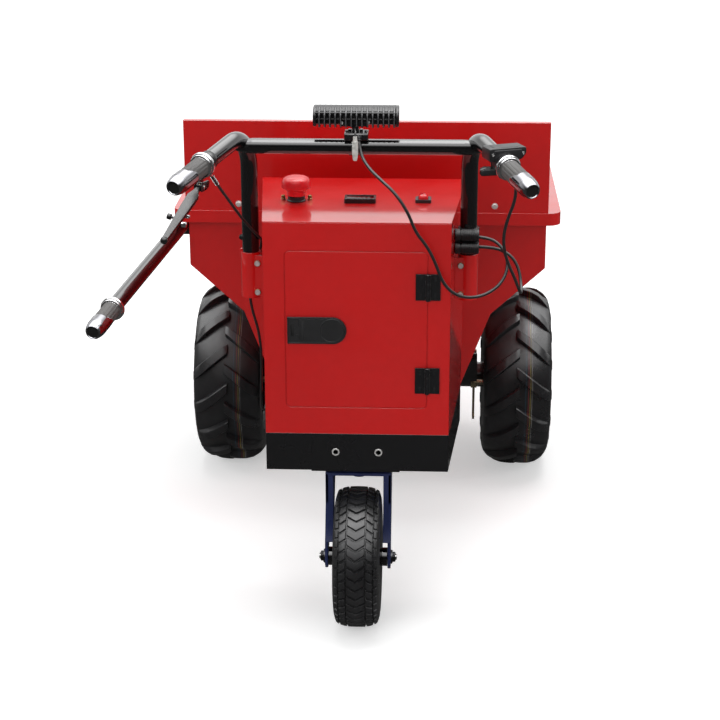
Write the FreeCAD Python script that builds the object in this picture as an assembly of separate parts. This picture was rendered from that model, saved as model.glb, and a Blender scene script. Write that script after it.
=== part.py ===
import FreeCAD, Part
import math
import os

# Electric concrete buggy: a tipping tub on two driven wheels, with a battery cabinet and a caster behind.
# Modelling datum: X to the right, Y forward, Z up, on the ground under the drive axle, in millimetres.
# At the end everything is moved so that the origin is the bottom centre of the whole buggy.

V = FreeCAD.Vector
UX, UY, UZ = V(1, 0, 0), V(0, 1, 0), V(0, 0, 1)

# Wheels
DRIVE_D = 396.0
DRIVE_W = 150.0
DRIVE_TRACK = 628.0
DRIVE_BEAD_R = 101.6
LUG_COUNT = 14
LUG_HEIGHT = 13.0
LUG_WIDTH = 27.0
TYRE_WALL = 8.0
CASTER_D = 260.0
CASTER_W = 85.0
CASTER_BEAD_R = 51.0
CASTER_PIVOT_Y = -763.0
CASTER_TRAIL = 50.0
GROOVE_DEPTH = 4.0
BEAD_GAP = 0.3

# Base frame under the cabinet, and the rails under the tub
REAR_Y = -848.0
BASE_HALF_W = 162.0
FLARE = 0.09
BASE_Z0 = 315.0
BASE_Z1 = 385.0
PLATE_T = 5.0
SIDE_RAIL_W = 40.0
SIDE_RAIL_END_Y = -590.0
HITCH_PITCH = 76.0
HITCH_HOLE_R = 4.5
HITCH_HOLE_Z = 350.0
RAIL_SIZE = 50.0
RAIL_WALL = 3.0
RAIL_X = 120.0
RAIL_Z1 = 305.0
RAIL_REAR_Y = -640.0
RAIL_FRONT_Y = 130.0
MOUNT_PLATE_T = 6.0

# Axle, motor and brakes
AXLE_R = 28.0
AXLE_HALF = 255.0
SHAFT_R = 14.0
RUN_GAP = 0.05
DIFF_R = 72.0
MOTOR_R = 56.0
MOTOR_Y = -125.0
MOTOR_Z = 190.0
FLANGE_R = 45.0
FLANGE_T = 6.0
DRUM_R = 77.0
DRUM_WALL = 7.0
HUB_FACE_X = 300.0
STUD_CIRCLE_R = 50.0
STUD_COUNT = 4
CAM_Y = -54.0
ARM_X = 221.5
ARM_T = 5.0
ARM_TOP_Z = 278.0
ARM_LOW_Z = 118.0
CABLE_STOP_Y = -95.0
CABLE_STOP_Z = 270.0

# Cabinet
SHEET = 2.0
CAB_TOP_Z = 772.5
CAB_FRONT_Y0 = -590.0
CAB_FRONT_Y1 = -529.0
DOOR_X0, DOOR_X1 = -124.0, 122.0
DOOR_Z0, DOOR_Z1 = 436.0, 720.0
DOOR_GAP = 1.5
DOOR_CORNER_R = 8.0
DOOR_RETURN = 14.0
HINGE_X = 123.2
HINGE_Y = -852.6
HINGE_HEIGHT = 47.0
HINGE_LEAF = 21.5
HINGE_T = 3.0
KNUCKLE_R = 4.2
HINGE_PIN_R = 2.0
HINGE_Z = (658.5, 487.5)
LATCH_X0, LATCH_X1 = -121.0, -18.0
LATCH_Z0, LATCH_Z1 = 554.0, 602.0
LATCH_PROUD = 4.0

# Controls on the cabinet top
ESTOP_X, ESTOP_Y = -114.0, -702.0
ESTOP_CAP_R = 26.3
ESTOP_HEIGHT = 46.0
GAUGE_X, GAUGE_Y = 0.0, -703.0
SWITCH_X, SWITCH_Y = 112.0, -700.0

# Handlebar
POST_X = 192.5
POST_Y = -748.0
TUBE_R = 15.0
TUBE_WALL = 2.5
POST_FOOT_Z = 612.0
BEND_Z = 911.0
BEND_R = 55.0
GRIP_END = (290.0, -998.0, 866.0)
GRIP_LEN = 107.0
STUB_R = 11.0
GRIP_R = 16.5
GRIP_FLANGE_R = 22.0
SOCKET_R = 18.0
SOCKET_BORE = 15.2
SOCKET_Z0, SOCKET_Z1 = 609.0, 692.0
SOCKET_SCREW_X = 179.5
SOCKET_SCREW_Z = (621.0, 674.0)
CROSSBAR_R = 13.5
CROSSBAR_Y = -778.0
CROSSBAR_Z = 888.0
CROSSBAR_HALF = 221.0
CROSSBAR_TAPER = 38.0

# Work light
LIGHT_X = -5.0
LIGHT_W = 150.0
LIGHT_H = 39.0
LIGHT_D = 40.0
LIGHT_Z0 = 922.0
LIGHT_FINS = 19
TILT_Z = 913.0

# Tub
TUB_SHEET = 3.0
TUB_REAR_Y = -416.0
TUB_FRONT_Y = 345.0
TUB_FLOOR_FRONT_Y = 200.0
TUB_SECTION = ((187.0, 325.0), (205.0, 371.0), (244.0, 473.0), (348.0, 568.0), (348.0, 682.0))
RIM_Z = 685.0
RIM_OUT = 27.0
RIM_LIP = 24.0
RIM_CORNER_R = 25.0
PANEL_TOP_Z = 861.0
PANEL_HALF_W = 350.0
PIVOT_Y = 150.0
PIVOT_Z = 290.0
PIVOT_R = 8.0
EAR_X = 80.0

# Dump handle
DUMP_R = 14.0
DUMP_END = (-454.0, -896.0, 584.0)
DUMP_BEND = (-364.0, -400.0, 644.0)
DUMP_FRONT_Y = -130.0

# Cables
CABLE_D = 5.5
BRAKE_CABLE_D = 5.0
CLIP_Y = -772.0
CLAMP_GAP = 0.1
CLIP_LIGHT_Z = 728.0
CLIP_THROTTLE_Z = 710.0

NODES = {}
FASTENERS = []
CORD_NODES = ("light_cable", "throttle_cable", "light_connector")


def node(name, *shapes):
    solids = [solid for shape in shapes for solid in shape.Solids]
    NODES[name] = solids


def box(x0, x1, y0, y1, z0, z1):
    return Part.makeBox(x1 - x0, y1 - y0, z1 - z0, V(x0, y0, z0))


def rod(radius, start, end):
    start, end = V(*start), V(*end)
    return Part.makeCylinder(radius, (end - start).Length, start, end - start)


def pipe(outer, inner, start, end):
    return rod(outer, start, end).cut(rod(inner, start, end))


def polygon(points):
    corners = [V(*p) for p in points]
    return Part.Face(Part.makePolygon(corners + corners[:1]))


def prism(points, travel):
    return polygon(points).extrude(V(*travel))


def mirrored(shape):
    return shape.mirror(V(0, 0, 0), UX)


def turned(shape, centre, axis, degrees):
    copy = shape.copy()
    copy.rotate(V(*centre), axis, degrees)
    return copy


def fused(shapes):
    first, *rest = shapes
    return first.fuse(rest).removeSplitter() if rest else first


def rounded_box(x0, x1, y0, y1, z0, z1, radius, axis):
    block = box(x0, x1, y0, y1, z0, z1)
    edges = [e for e in block.Edges if abs(e.tangentAt(0).dot(axis)) > 0.99]
    return block.makeFillet(radius, edges)


def revolved(outline, centre, axis):
    """Turns an outline of (radius, along) points about an axis through a centre."""
    side = V(0, 0, 1) if abs(axis.z) < 0.9 else V(1, 0, 0)
    side = (side - axis * side.dot(axis)).normalize()
    corners = [V(*centre) + side * r + axis * a for r, a in outline]
    return Part.Face(Part.makePolygon(corners + corners[:1])).revolve(V(*centre), axis, 360)


def bent_path(points, radius=None):
    """Straight runs joined by tangent arcs; without a radius each arc is as large as its runs allow."""
    corners = [V(*p) for p in points]
    edges, radii = [], []
    start = corners[0]
    for a, b, c in zip(corners, corners[1:], corners[2:]):
        into, out = (b - a).normalize(), (c - b).normalize()
        half = math.acos(max(-1.0, min(1.0, into.dot(out)))) / 2
        shorter = min((b - a).Length, (c - b).Length)
        r = radius or 0.45 * shorter / math.tan(half)
        reach = r * math.tan(half)
        first, last = b - into * reach, b + out * reach
        middle = b + (out - into).normalize() * (r / math.cos(half) - r)
        edges.append(Part.LineSegment(start, first).toShape())
        edges.append(Part.Arc(first, middle, last).toShape())
        radii.append(r)
        start = last
    edges.append(Part.LineSegment(start, corners[-1]).toShape())
    return Part.Wire(edges), radii


def swept(path, radius):
    start = path.Edges[0].valueAt(path.Edges[0].FirstParameter)
    heading = path.Edges[0].tangentAt(path.Edges[0].FirstParameter)
    ring = Part.Wire([Part.makeCircle(radius, start, heading)])
    shell = Part.BRepOffsetAPI.MakePipeShell(path)
    shell.add(ring)
    shell.build()
    shell.makeSolid()
    return Part.Solid(shell.shape())


def bent_tube(points, outer, wall, bend_radius):
    path, _ = bent_path(points, bend_radius)
    return swept(path, outer).cut(swept(path, outer - wall))


def cord(name, points, diameter):
    """A cable along its route; prints its arcs and compares its volume with section times length."""
    path, radii = bent_path(points)
    solid = swept(path, diameter / 2)
    ideal = math.pi * diameter**2 / 4 * path.Length
    print(name, "length", round(path.Length), "least radius", round(min(radii)), "volume ratio",
          round(solid.Volume / ideal, 4))
    return solid


def local_frame(origin, x_dir, y_dir):
    """A placement whose X and Y follow two given square directions."""
    x_dir, y_dir = x_dir.normalize(), y_dir.normalize()
    z_dir = x_dir.cross(y_dir)
    matrix = FreeCAD.Matrix(x_dir.x, y_dir.x, z_dir.x, origin.x, x_dir.y, y_dir.y, z_dir.y, origin.y,
                            x_dir.z, y_dir.z, z_dir.z, origin.z, 0, 0, 0, 1)
    return FreeCAD.Placement(matrix)


def placed(shape, placement):
    copy = shape.copy()
    copy.Placement = placement.multiply(copy.Placement)
    return copy


def hex_head(across, height, centre, axis):
    """A hexagonal head or nut, from its seat along an axis."""
    side = V(0, 0, 1) if abs(axis.z) < 0.9 else V(1, 0, 0)
    other = axis.cross(side)
    corners = [V(*centre) + (side * math.cos(math.radians(60 * i)) + other * math.sin(math.radians(60 * i)))
               * (across / math.sqrt(3)) for i in range(6)]
    return Part.Face(Part.makePolygon(corners + corners[:1])).extrude(axis * height)


def half_width(y):
    """The cabinet and base widen from the rear face forward."""
    return BASE_HALF_W + FLARE * (y - REAR_Y)


def front_y(z):
    """The cabinet's front face leans forward towards the top."""
    share = (z - BASE_Z1) / (CAB_TOP_Z - BASE_Z1)
    return CAB_FRONT_Y0 + (CAB_FRONT_Y1 - CAB_FRONT_Y0) * share


SHEET_X = SHEET * math.hypot(1, FLARE)
FRONT_LEAN = (CAB_FRONT_Y1 - CAB_FRONT_Y0) / (CAB_TOP_Z - BASE_Z1)
SHEET_Y = SHEET * math.hypot(1, FRONT_LEAN)
AXLE_Z = DRIVE_D / 2
DRIVE_X = DRIVE_TRACK / 2
CASTER_Z = CASTER_D / 2
CASTER_Y = CASTER_PIVOT_Y - CASTER_TRAIL
GRIP_POINT = V(*GRIP_END)
ARM_ROOT = V(POST_X, POST_Y, BEND_Z)
ARM_DIR = (GRIP_POINT - ARM_ROOT).normalize()
GRIP_FOOT = GRIP_POINT - ARM_DIR * GRIP_LEN


def tyre_outline(half_w, crown_r, shoulder, bead_r, bead_half):
    """Closed section of a tyre's outside, from one bead over the tread to the other."""
    drop, side_r = shoulder
    return [(bead_r, bead_half), (bead_r + 10, bead_half + 2), (side_r, half_w), (drop, half_w * 0.93),
            (crown_r, half_w * 0.45), (crown_r, -half_w * 0.45), (drop, -half_w * 0.93), (side_r, -half_w),
            (bead_r + 10, -bead_half - 2), (bead_r, -bead_half)]


def ring_solid(half_outline, centre):
    return revolved(half_outline, centre, UX)


def drive_tyre(x):
    """Carcass with a chevron of heavy lugs; the points of the chevron lead upwards behind the wheel."""
    centre = (x, 0, AXLE_Z)
    crown = DRIVE_D / 2 - LUG_HEIGHT
    half = DRIVE_W / 2
    bead = DRIVE_BEAD_R + BEAD_GAP
    carcass = ring_solid(tyre_outline(half - 2, crown, (crown - 14, 150), bead, 62), centre)
    cavity = ring_solid(tyre_outline(half - 2 - TYRE_WALL, crown - TYRE_WALL, (crown - 24, 148), bead - 1, 52), centre)
    tread = DRIVE_D / 2
    section = [(tread - 68, half - 2), (tread - 53, half), (tread - 40, half * 0.985), (tread - 26, half * 0.92),
               (tread - 14, half * 0.79), (tread - 5, half * 0.6), (tread - 1, half * 0.4), (tread, half * 0.14)]
    envelope = ring_solid(section + [(r, -a) for r, a in reversed(section)], centre)
    pitch = 360.0 / LUG_COUNT
    inner_end, outer_end = 26.0, -34.0
    lugs = []
    for side in (1, -1):
        bar = prism([(x - 3 * side, inner_end - LUG_WIDTH / 2, AXLE_Z + 140),
                     (x + (half + 3) * side, outer_end - LUG_WIDTH / 2, AXLE_Z + 140),
                     (x + (half + 3) * side, outer_end + LUG_WIDTH / 2, AXLE_Z + 140),
                     (x - 3 * side, inner_end + LUG_WIDTH / 2, AXLE_Z + 140)], (0, 0, 70))
        bar = bar.common(envelope)
        offset = 0 if side > 0 else pitch / 2
        lugs += [turned(bar, centre, UX, offset + pitch * i) for i in range(LUG_COUNT)]
    return carcass.fuse(lugs).cut(cavity)


def drive_rim(x, side):
    """Pressed wheel: two bead seats, a drop centre and a disc on the hub face."""
    seat, well, wall, half = DRIVE_BEAD_R, 88.0, 3.5, 66.0
    disc = side * (HUB_FACE_X - DRIVE_X)
    outer = [(seat + 13, -half), (seat, -half + 4), (seat, -half + 26), (well, -half + 32), (well, half - 32),
             (seat, half - 26), (seat, half - 4), (seat + 13, half)]
    inner = [(seat + 13 - wall, half + 1), (seat - wall, half - 3), (seat - wall, half - 28), (well - wall, half - 33),
             (well - wall, -half + 33), (seat - wall, -half + 28), (seat - wall, -half + 3),
             (seat + 13 - wall, -half - 1)]
    barrel = revolved(outer + inner, (x, 0, AXLE_Z), UX)
    plate = pipe(well - wall / 2, PILOT_R + RUN_GAP, (x + disc, 0, AXLE_Z), (x + disc + side * 4, 0, AXLE_Z))
    wheel = barrel.fuse(plate)
    for i in range(STUD_COUNT):
        a = math.radians(360 / STUD_COUNT * i + 45)
        y, z = STUD_CIRCLE_R * math.cos(a), AXLE_Z + STUD_CIRCLE_R * math.sin(a)
        wheel = wheel.cut(rod(6.5, (x + disc - side, y, z), (x + disc + side * 6, y, z)))
    return wheel


PILOT_R = 30.0


def hub_drum(side):
    """Brake drum, hub and half shaft in one, with its wheel studs and nuts."""
    f = HUB_FACE_X
    outline = [(0, 150), (SHAFT_R, 150), (SHAFT_R, f - 10), (DRUM_R - DRUM_WALL, f - 10), (DRUM_R - DRUM_WALL, f - 34),
               (DRUM_R, f - 34), (DRUM_R, f), (PILOT_R, f), (PILOT_R, f + 14), (20, f + 26), (0, f + 26)]
    drum = revolved(outline, (0, 0, AXLE_Z), UX)
    fasteners = []
    for i in range(STUD_COUNT):
        a = math.radians(360 / STUD_COUNT * i + 45)
        y, z = STUD_CIRCLE_R * math.cos(a), AXLE_Z + STUD_CIRCLE_R * math.sin(a)
        stud = rod(6, (f - 6, y, z), (f + 20, y, z))
        drum = drum.cut(rod(6, (f - 6, y, z), (f + 1, y, z)))
        nut = hex_head(19, 10, (f + 4, y, z), UX).cut(rod(6, (f + 3, y, z), (f + 15, y, z)))
        fasteners += [stud, nut]
    solids = [drum] + fasteners
    return solids if side > 0 else [mirrored(s) for s in solids]


def base_frame():
    """The rear plate with its tow holes, the two flared side rails, the cross member and the caster plate."""
    plate = box(-BASE_HALF_W, BASE_HALF_W, REAR_Y, REAR_Y + PLATE_T, BASE_Z0, BASE_Z1)
    for x in (-HITCH_PITCH / 2, HITCH_PITCH / 2):
        plate = plate.cut(rod(HITCH_HOLE_R, (x, REAR_Y - 1, HITCH_HOLE_Z), (x, REAR_Y + PLATE_T + 1, HITCH_HOLE_Z)))
    y0, y1 = REAR_Y + PLATE_T, SIDE_RAIL_END_Y
    side = rail_shell(y0, y1)
    inner_y0, inner_y1 = SIDE_RAIL_END_Y - RAIL_SIZE, SIDE_RAIL_END_Y
    reach0 = half_width(inner_y0) - SIDE_RAIL_W
    reach1 = half_width(inner_y1) - SIDE_RAIL_W
    cross = prism([(-reach0, inner_y0, RAIL_Z1), (reach0, inner_y0, RAIL_Z1), (reach1, inner_y1, RAIL_Z1),
                   (-reach1, inner_y1, RAIL_Z1)], (0, 0, RAIL_SIZE))
    hollow = box(-reach1 - 1, reach1 + 1, inner_y0 + RAIL_WALL, inner_y1 - RAIL_WALL, RAIL_Z1 + RAIL_WALL,
                 RAIL_Z1 + RAIL_SIZE - RAIL_WALL)
    cross = cross.cut(hollow)
    reach = half_width(y0) - SIDE_RAIL_W
    mount = box(-reach, reach, y0, y0 + 165, BASE_Z0, BASE_Z0 + MOUNT_PLATE_T)
    for x, y in caster_bolt_points():
        mount = mount.cut(rod(5.5, (x, y, BASE_Z0 - 1), (x, y, BASE_Z0 + MOUNT_PLATE_T + 1)))
    node("base_frame", plate, side, mirrored(side), cross, mount)


def rail_shell(y0, y1):
    """One side rail: a box section that flares with the cabinet."""
    def slab(y_from, y_to, inset, z_inset):
        a, b = half_width(y_from) - inset, half_width(y_to) - inset
        w = SIDE_RAIL_W - 2 * inset
        z0, z1 = BASE_Z0 + z_inset, BASE_Z1 - z_inset
        return prism([(a - w, y_from, z0), (a, y_from, z0), (b, y_to, z0), (b - w, y_to, z0)], (0, 0, z1 - z0))
    return slab(y0, y1, 0, 0).cut(slab(y0 - 1, y1 + 1, RAIL_WALL, RAIL_WALL))


def caster_bolt_points():
    return [(x, CASTER_PIVOT_Y + y) for x in (-48, 48) for y in (-40, 40)]


def main_rails():
    """Two box rails from the base frame to the tub's pivot, with the front cross tube, ears and tub stops."""
    z0 = RAIL_Z1 - RAIL_SIZE
    half = RAIL_SIZE / 2
    rail = box(RAIL_X - half, RAIL_X + half, RAIL_REAR_Y, RAIL_FRONT_Y, z0, RAIL_Z1)
    rail = rail.cut(box(RAIL_X - half + RAIL_WALL, RAIL_X + half - RAIL_WALL, RAIL_REAR_Y - 1, RAIL_FRONT_Y + 1,
                        z0 + RAIL_WALL, RAIL_Z1 - RAIL_WALL))
    reach = RAIL_X - half
    cross = box(-reach, reach, RAIL_FRONT_Y - RAIL_SIZE, RAIL_FRONT_Y, z0, RAIL_Z1)
    cross = cross.cut(box(-reach - 1, reach + 1, RAIL_FRONT_Y - RAIL_SIZE + RAIL_WALL, RAIL_FRONT_Y - RAIL_WALL,
                          z0 + RAIL_WALL, RAIL_Z1 - RAIL_WALL))
    ear = box(EAR_X - 3, EAR_X + 3, RAIL_FRONT_Y, PIVOT_Y, PIVOT_Z - 16, PIVOT_Z + 15)
    ear = ear.fuse(rod(15, (EAR_X - 3, PIVOT_Y, PIVOT_Z), (EAR_X + 3, PIVOT_Y, PIVOT_Z)))
    ear = ear.cut(rod(PIVOT_R + RUN_GAP, (EAR_X - 4, PIVOT_Y, PIVOT_Z), (EAR_X + 4, PIVOT_Y, PIVOT_Z)))
    stop = rod(16, (RAIL_X, -370, RAIL_Z1), (RAIL_X, -370, TUB_SECTION[0][1] - TUB_SHEET - BEAD_GAP))
    node("main_rails", rail, mirrored(rail), cross, ear, mirrored(ear), stop, mirrored(stop))
    shank = rod(PIVOT_R, (-EAR_X - 10, PIVOT_Y, PIVOT_Z), (EAR_X + 10, PIVOT_Y, PIVOT_Z))
    head = rod(13, (EAR_X + 3.2, PIVOT_Y, PIVOT_Z), (EAR_X + 9, PIVOT_Y, PIVOT_Z))
    node("tub_pivot_pin", fused([shank, head, mirrored(head)]))


def axle():
    """Axle tube with its gear case, saddles, end flanges, cable stops and brake backing plates."""
    tube = rod(AXLE_R, (-AXLE_HALF, 0, AXLE_Z), (AXLE_HALF, 0, AXLE_Z))
    case = revolved([(0, -48), (AXLE_R + 8, -48), (DIFF_R, -26), (DIFF_R, 26), (AXLE_R + 8, 48), (0, 48)],
                    (0, 0, AXLE_Z), UX)
    gear_case = prism([(-36, MOTOR_Y, MOTOR_Z + 50), (-36, 0, AXLE_Z + 60), (-36, 0, AXLE_Z - 60),
                       (-36, MOTOR_Y, MOTOR_Z - 50)], (30, 0, 0))
    nose = rod(50, (-36, MOTOR_Y, MOTOR_Z), (-6, MOTOR_Y, MOTOR_Z))
    body = fused([tube, case, gear_case, nose])
    extras = []
    for side in (1, -1):
        saddle = box(RAIL_X - 22, RAIL_X + 22, -26, 26, AXLE_Z, RAIL_Z1 - RAIL_SIZE)
        flange = rod(FLANGE_R, (AXLE_HALF, 0, AXLE_Z), (AXLE_HALF + FLANGE_T, 0, AXLE_Z))
        strap = box(200, 208, CABLE_STOP_Y, 0, AXLE_Z + 17, AXLE_Z + 23)
        tab = box(200, ARM_X + 6, CABLE_STOP_Y, CABLE_STOP_Y + 4, AXLE_Z + 17, CABLE_STOP_Z + 9)
        tab = tab.cut(rod(1.5, (ARM_X, CABLE_STOP_Y - 1, CABLE_STOP_Z), (ARM_X, CABLE_STOP_Y + 5, CABLE_STOP_Z)))
        for piece in (saddle, flange, strap, tab):
            extras.append(piece if side > 0 else mirrored(piece))
    body = body.fuse(extras)
    for side in (1, -1):
        well = rod(22, (0, 0, AXLE_Z), (side * (AXLE_HALF - 20), 0, AXLE_Z))
        bearing = rod(SHAFT_R + RUN_GAP, (0, 0, AXLE_Z), (side * (AXLE_HALF + FLANGE_T + 1), 0, AXLE_Z))
        body = body.cut([well, bearing])
    x0 = AXLE_HALF + FLANGE_T
    plate = pipe(DRUM_R - 1, SHAFT_R + 2, (x0, 0, AXLE_Z), (x0 + 3, 0, AXLE_Z))
    plate = plate.cut(rod(6 + RUN_GAP, (x0 - 1, CAM_Y, AXLE_Z), (x0 + 4, CAM_Y, AXLE_Z)))
    node("axle_housing", body, plate, mirrored(plate))
    can = rod(MOTOR_R, (-176, MOTOR_Y, MOTOR_Z), (-36, MOTOR_Y, MOTOR_Z))
    ribs = [pipe(MOTOR_R + 2.5, MOTOR_R - 2, (x, MOTOR_Y, MOTOR_Z), (x + 3, MOTOR_Y, MOTOR_Z))
            for x in range(-164, -52, 14)]
    node("drive_motor", can.fuse(ribs))
    node("brake_arm_left", mirrored(brake_arm()))
    node("brake_arm_right", brake_arm())
    legs = []
    for x in (RAIL_X - 36, RAIL_X + 36):
        for y in (-34, 34):
            legs.append(rod(5, (x, y, AXLE_Z), (x, y, RAIL_Z1 + 12)))
        bend = revolve_half(x)
        legs[-2] = fused([legs[-2], legs[-1], bend])
        legs.pop()
    strap = box(RAIL_X - 44, RAIL_X + 44, -42, 42, RAIL_Z1, RAIL_Z1 + 5)
    for x in (RAIL_X - 36, RAIL_X + 36):
        for y in (-34, 34):
            strap = strap.cut(rod(5.2, (x, y, RAIL_Z1 - 1), (x, y, RAIL_Z1 + 6)))
    pieces = legs + [strap]
    FASTENERS.extend(pieces + [mirrored(p) for p in pieces])


def revolve_half(x):
    """The round lower half of a U bolt, under the axle tube."""
    circle = Part.Face(Part.Wire([Part.makeCircle(5, V(x, 34, AXLE_Z), UZ)]))
    return circle.revolve(V(x, 0, AXLE_Z), UX, -180)


def brake_arm():
    """Right brake arm on its cam spindle, hooked at the foot, with the end of the inner wire at the top."""
    spindle = rod(6, (ARM_X, CAM_Y, AXLE_Z), (AXLE_HALF + FLANGE_T + 18, CAM_Y, AXLE_Z))
    x0, x1 = ARM_X - ARM_T / 2, ARM_X + ARM_T / 2
    bar = prism([(x0, CAM_Y - 8, ARM_LOW_Z + 8), (x0, CAM_Y + 6, ARM_LOW_Z + 8), (x0, CAM_Y + 8, AXLE_Z),
                 (x0, CAM_Y + 6, ARM_TOP_Z), (x0, CAM_Y - 6, ARM_TOP_Z), (x0, CAM_Y - 8, AXLE_Z)], (ARM_T, 0, 0))
    boss = rod(12, (x0 - 4, CAM_Y, AXLE_Z), (x1 + 4, CAM_Y, AXLE_Z))
    hook = box(x0, x1, CAM_Y - 18, CAM_Y + 6, ARM_LOW_Z, ARM_LOW_Z + 8)
    clevis = rod(5, (x0 - 3, CAM_Y, CABLE_STOP_Z), (x1 + 3, CAM_Y, CABLE_STOP_Z))
    wire = rod(1.0, (ARM_X, CABLE_STOP_Y + 16, CABLE_STOP_Z), (ARM_X, CAM_Y, CABLE_STOP_Z))
    return fused([spindle, bar, boss, hook, clevis, wire])


def drive_wheels():
    for name, side in (("left", -1), ("right", 1)):
        x = side * DRIVE_X
        node(name + "_hub_drum", *hub_drum(side))
        node(name + "_rim", drive_rim(x, side))
        node(name + "_tyre", drive_tyre(x))


def caster():
    """Caster: top plate with kingpin, swivel fork, and a wheel on a through bolt."""
    y = CASTER_PIVOT_Y
    top = box(-66, 66, y - 56, y + 56, BASE_Z0 - 5, BASE_Z0)
    for bx, by in caster_bolt_points():
        top = top.cut(rod(5.5, (bx, by, BASE_Z0 - 6), (bx, by, BASE_Z0 + 1)))
    race = rod(36, (0, y, BASE_Z0 - 17), (0, y, BASE_Z0 - 5))
    pin = rod(10, (0, y, BASE_Z0 - 36), (0, y, BASE_Z0 - 5))
    cap = rod(15, (0, y, BASE_Z0 - 42), (0, y, BASE_Z0 - 33))
    node("caster_top_plate", fused([top, race, pin, cap]))
    bolts = []
    for bx, by in caster_bolt_points():
        bolt = rod(5, (bx, by, BASE_Z0 - 6), (bx, by, BASE_Z0 + 22))
        bolts.append(bolt.fuse(hex_head(17, 6, (bx, by, BASE_Z0 - 11), UZ)))
        nut = hex_head(17, 8, (bx, by, BASE_Z0 + MOUNT_PLATE_T), UZ)
        bolts.append(nut.cut(rod(5, (bx, by, BASE_Z0), (bx, by, BASE_Z0 + 22))))
    FASTENERS.extend(bolts)
    crown_z = BASE_Z0 - 25
    crown = rounded_box(-60, 60, y - 38, y + 34, crown_z - 6, crown_z, 10, UZ)
    cup = rod(32, (0, y, crown_z), (0, y, BASE_Z0 - 17.3))
    leg = prism([(54, y - 36, crown_z), (54, y + 30, crown_z), (54, y + 30, crown_z - 26),
                 (54, CASTER_Y + 19, CASTER_Z + 6), (54, CASTER_Y + 19, CASTER_Z - 10), (54, CASTER_Y + 10, CASTER_Z - 19),
                 (54, CASTER_Y - 10, CASTER_Z - 19), (54, CASTER_Y - 19, CASTER_Z - 10),
                 (54, CASTER_Y - 19, CASTER_Z + 16), (54, y - 36, crown_z - 60)], (6, 0, 0))
    fork = fused([crown, cup, leg, mirrored(leg)])
    fork = fork.cut(rod(10 + RUN_GAP, (0, y, crown_z - 10), (0, y, BASE_Z0)))
    fork = fork.cut(rod(6.02, (-62, CASTER_Y, CASTER_Z), (62, CASTER_Y, CASTER_Z)))
    node("caster_fork", fork)
    bolt = rod(6, (-74, CASTER_Y, CASTER_Z), (74, CASTER_Y, CASTER_Z))
    head = hex_head(19, 8, (60, CASTER_Y, CASTER_Z), UX)
    node("caster_axle", fused([bolt, head, mirrored(head)]))
    half = CASTER_W / 2
    seat, well, wall = CASTER_BEAD_R, 42.0, 3.0
    outer = [(seat + 9, -32), (seat, -29), (seat, -18), (well, -13), (well, 13), (seat, 18), (seat, 29), (seat + 9, 32)]
    inner = [(seat + 9 - wall, 33), (seat - wall, 29), (seat - wall, 19), (well - wall, 14), (well - wall, -14),
             (seat - wall, -19), (seat - wall, -29), (seat + 9 - wall, -33)]
    barrel = revolved(outer + inner, (0, CASTER_Y, CASTER_Z), UX)
    hub = pipe(17, 6 + RUN_GAP, (-53.5, CASTER_Y, CASTER_Z), (53.5, CASTER_Y, CASTER_Z))
    web = pipe(well - wall / 2, 16, (-3, CASTER_Y, CASTER_Z), (3, CASTER_Y, CASTER_Z))
    node("caster_rim", fused([barrel, hub, web]))
    bead = seat + BEAD_GAP
    outline = tyre_outline(half, CASTER_D / 2, (CASTER_D / 2 - 9, 92), bead, 28)
    cavity = ring_solid(tyre_outline(half - 6, CASTER_D / 2 - 10, (CASTER_D / 2 - 17, 90), bead - 1, 21),
                        (0, CASTER_Y, CASTER_Z))
    tyre = ring_solid(outline, (0, CASTER_Y, CASTER_Z)).cut(cavity)
    for x in (-24, -9, 9, 24):
        groove = pipe(CASTER_D / 2 + 2, CASTER_D / 2 - GROOVE_DEPTH, (x - 1.5, CASTER_Y, CASTER_Z),
                      (x + 1.5, CASTER_Y, CASTER_Z))
        tyre = tyre.cut(groove)
    node("caster_tyre", tyre)


def side_panel():
    """Right cabinet side, a sheet that follows the flare and the leaning front."""
    x, y0 = half_width(REAR_Y + SHEET), REAR_Y + SHEET
    top = CAB_TOP_Z - SHEET
    outline = [(half_width(y0), y0, BASE_Z1), (half_width(front_y(BASE_Z1)), front_y(BASE_Z1), BASE_Z1),
               (half_width(front_y(top)), front_y(top), top), (x, y0, top)]
    return prism(outline, (-SHEET_X, 0, 0))


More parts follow.
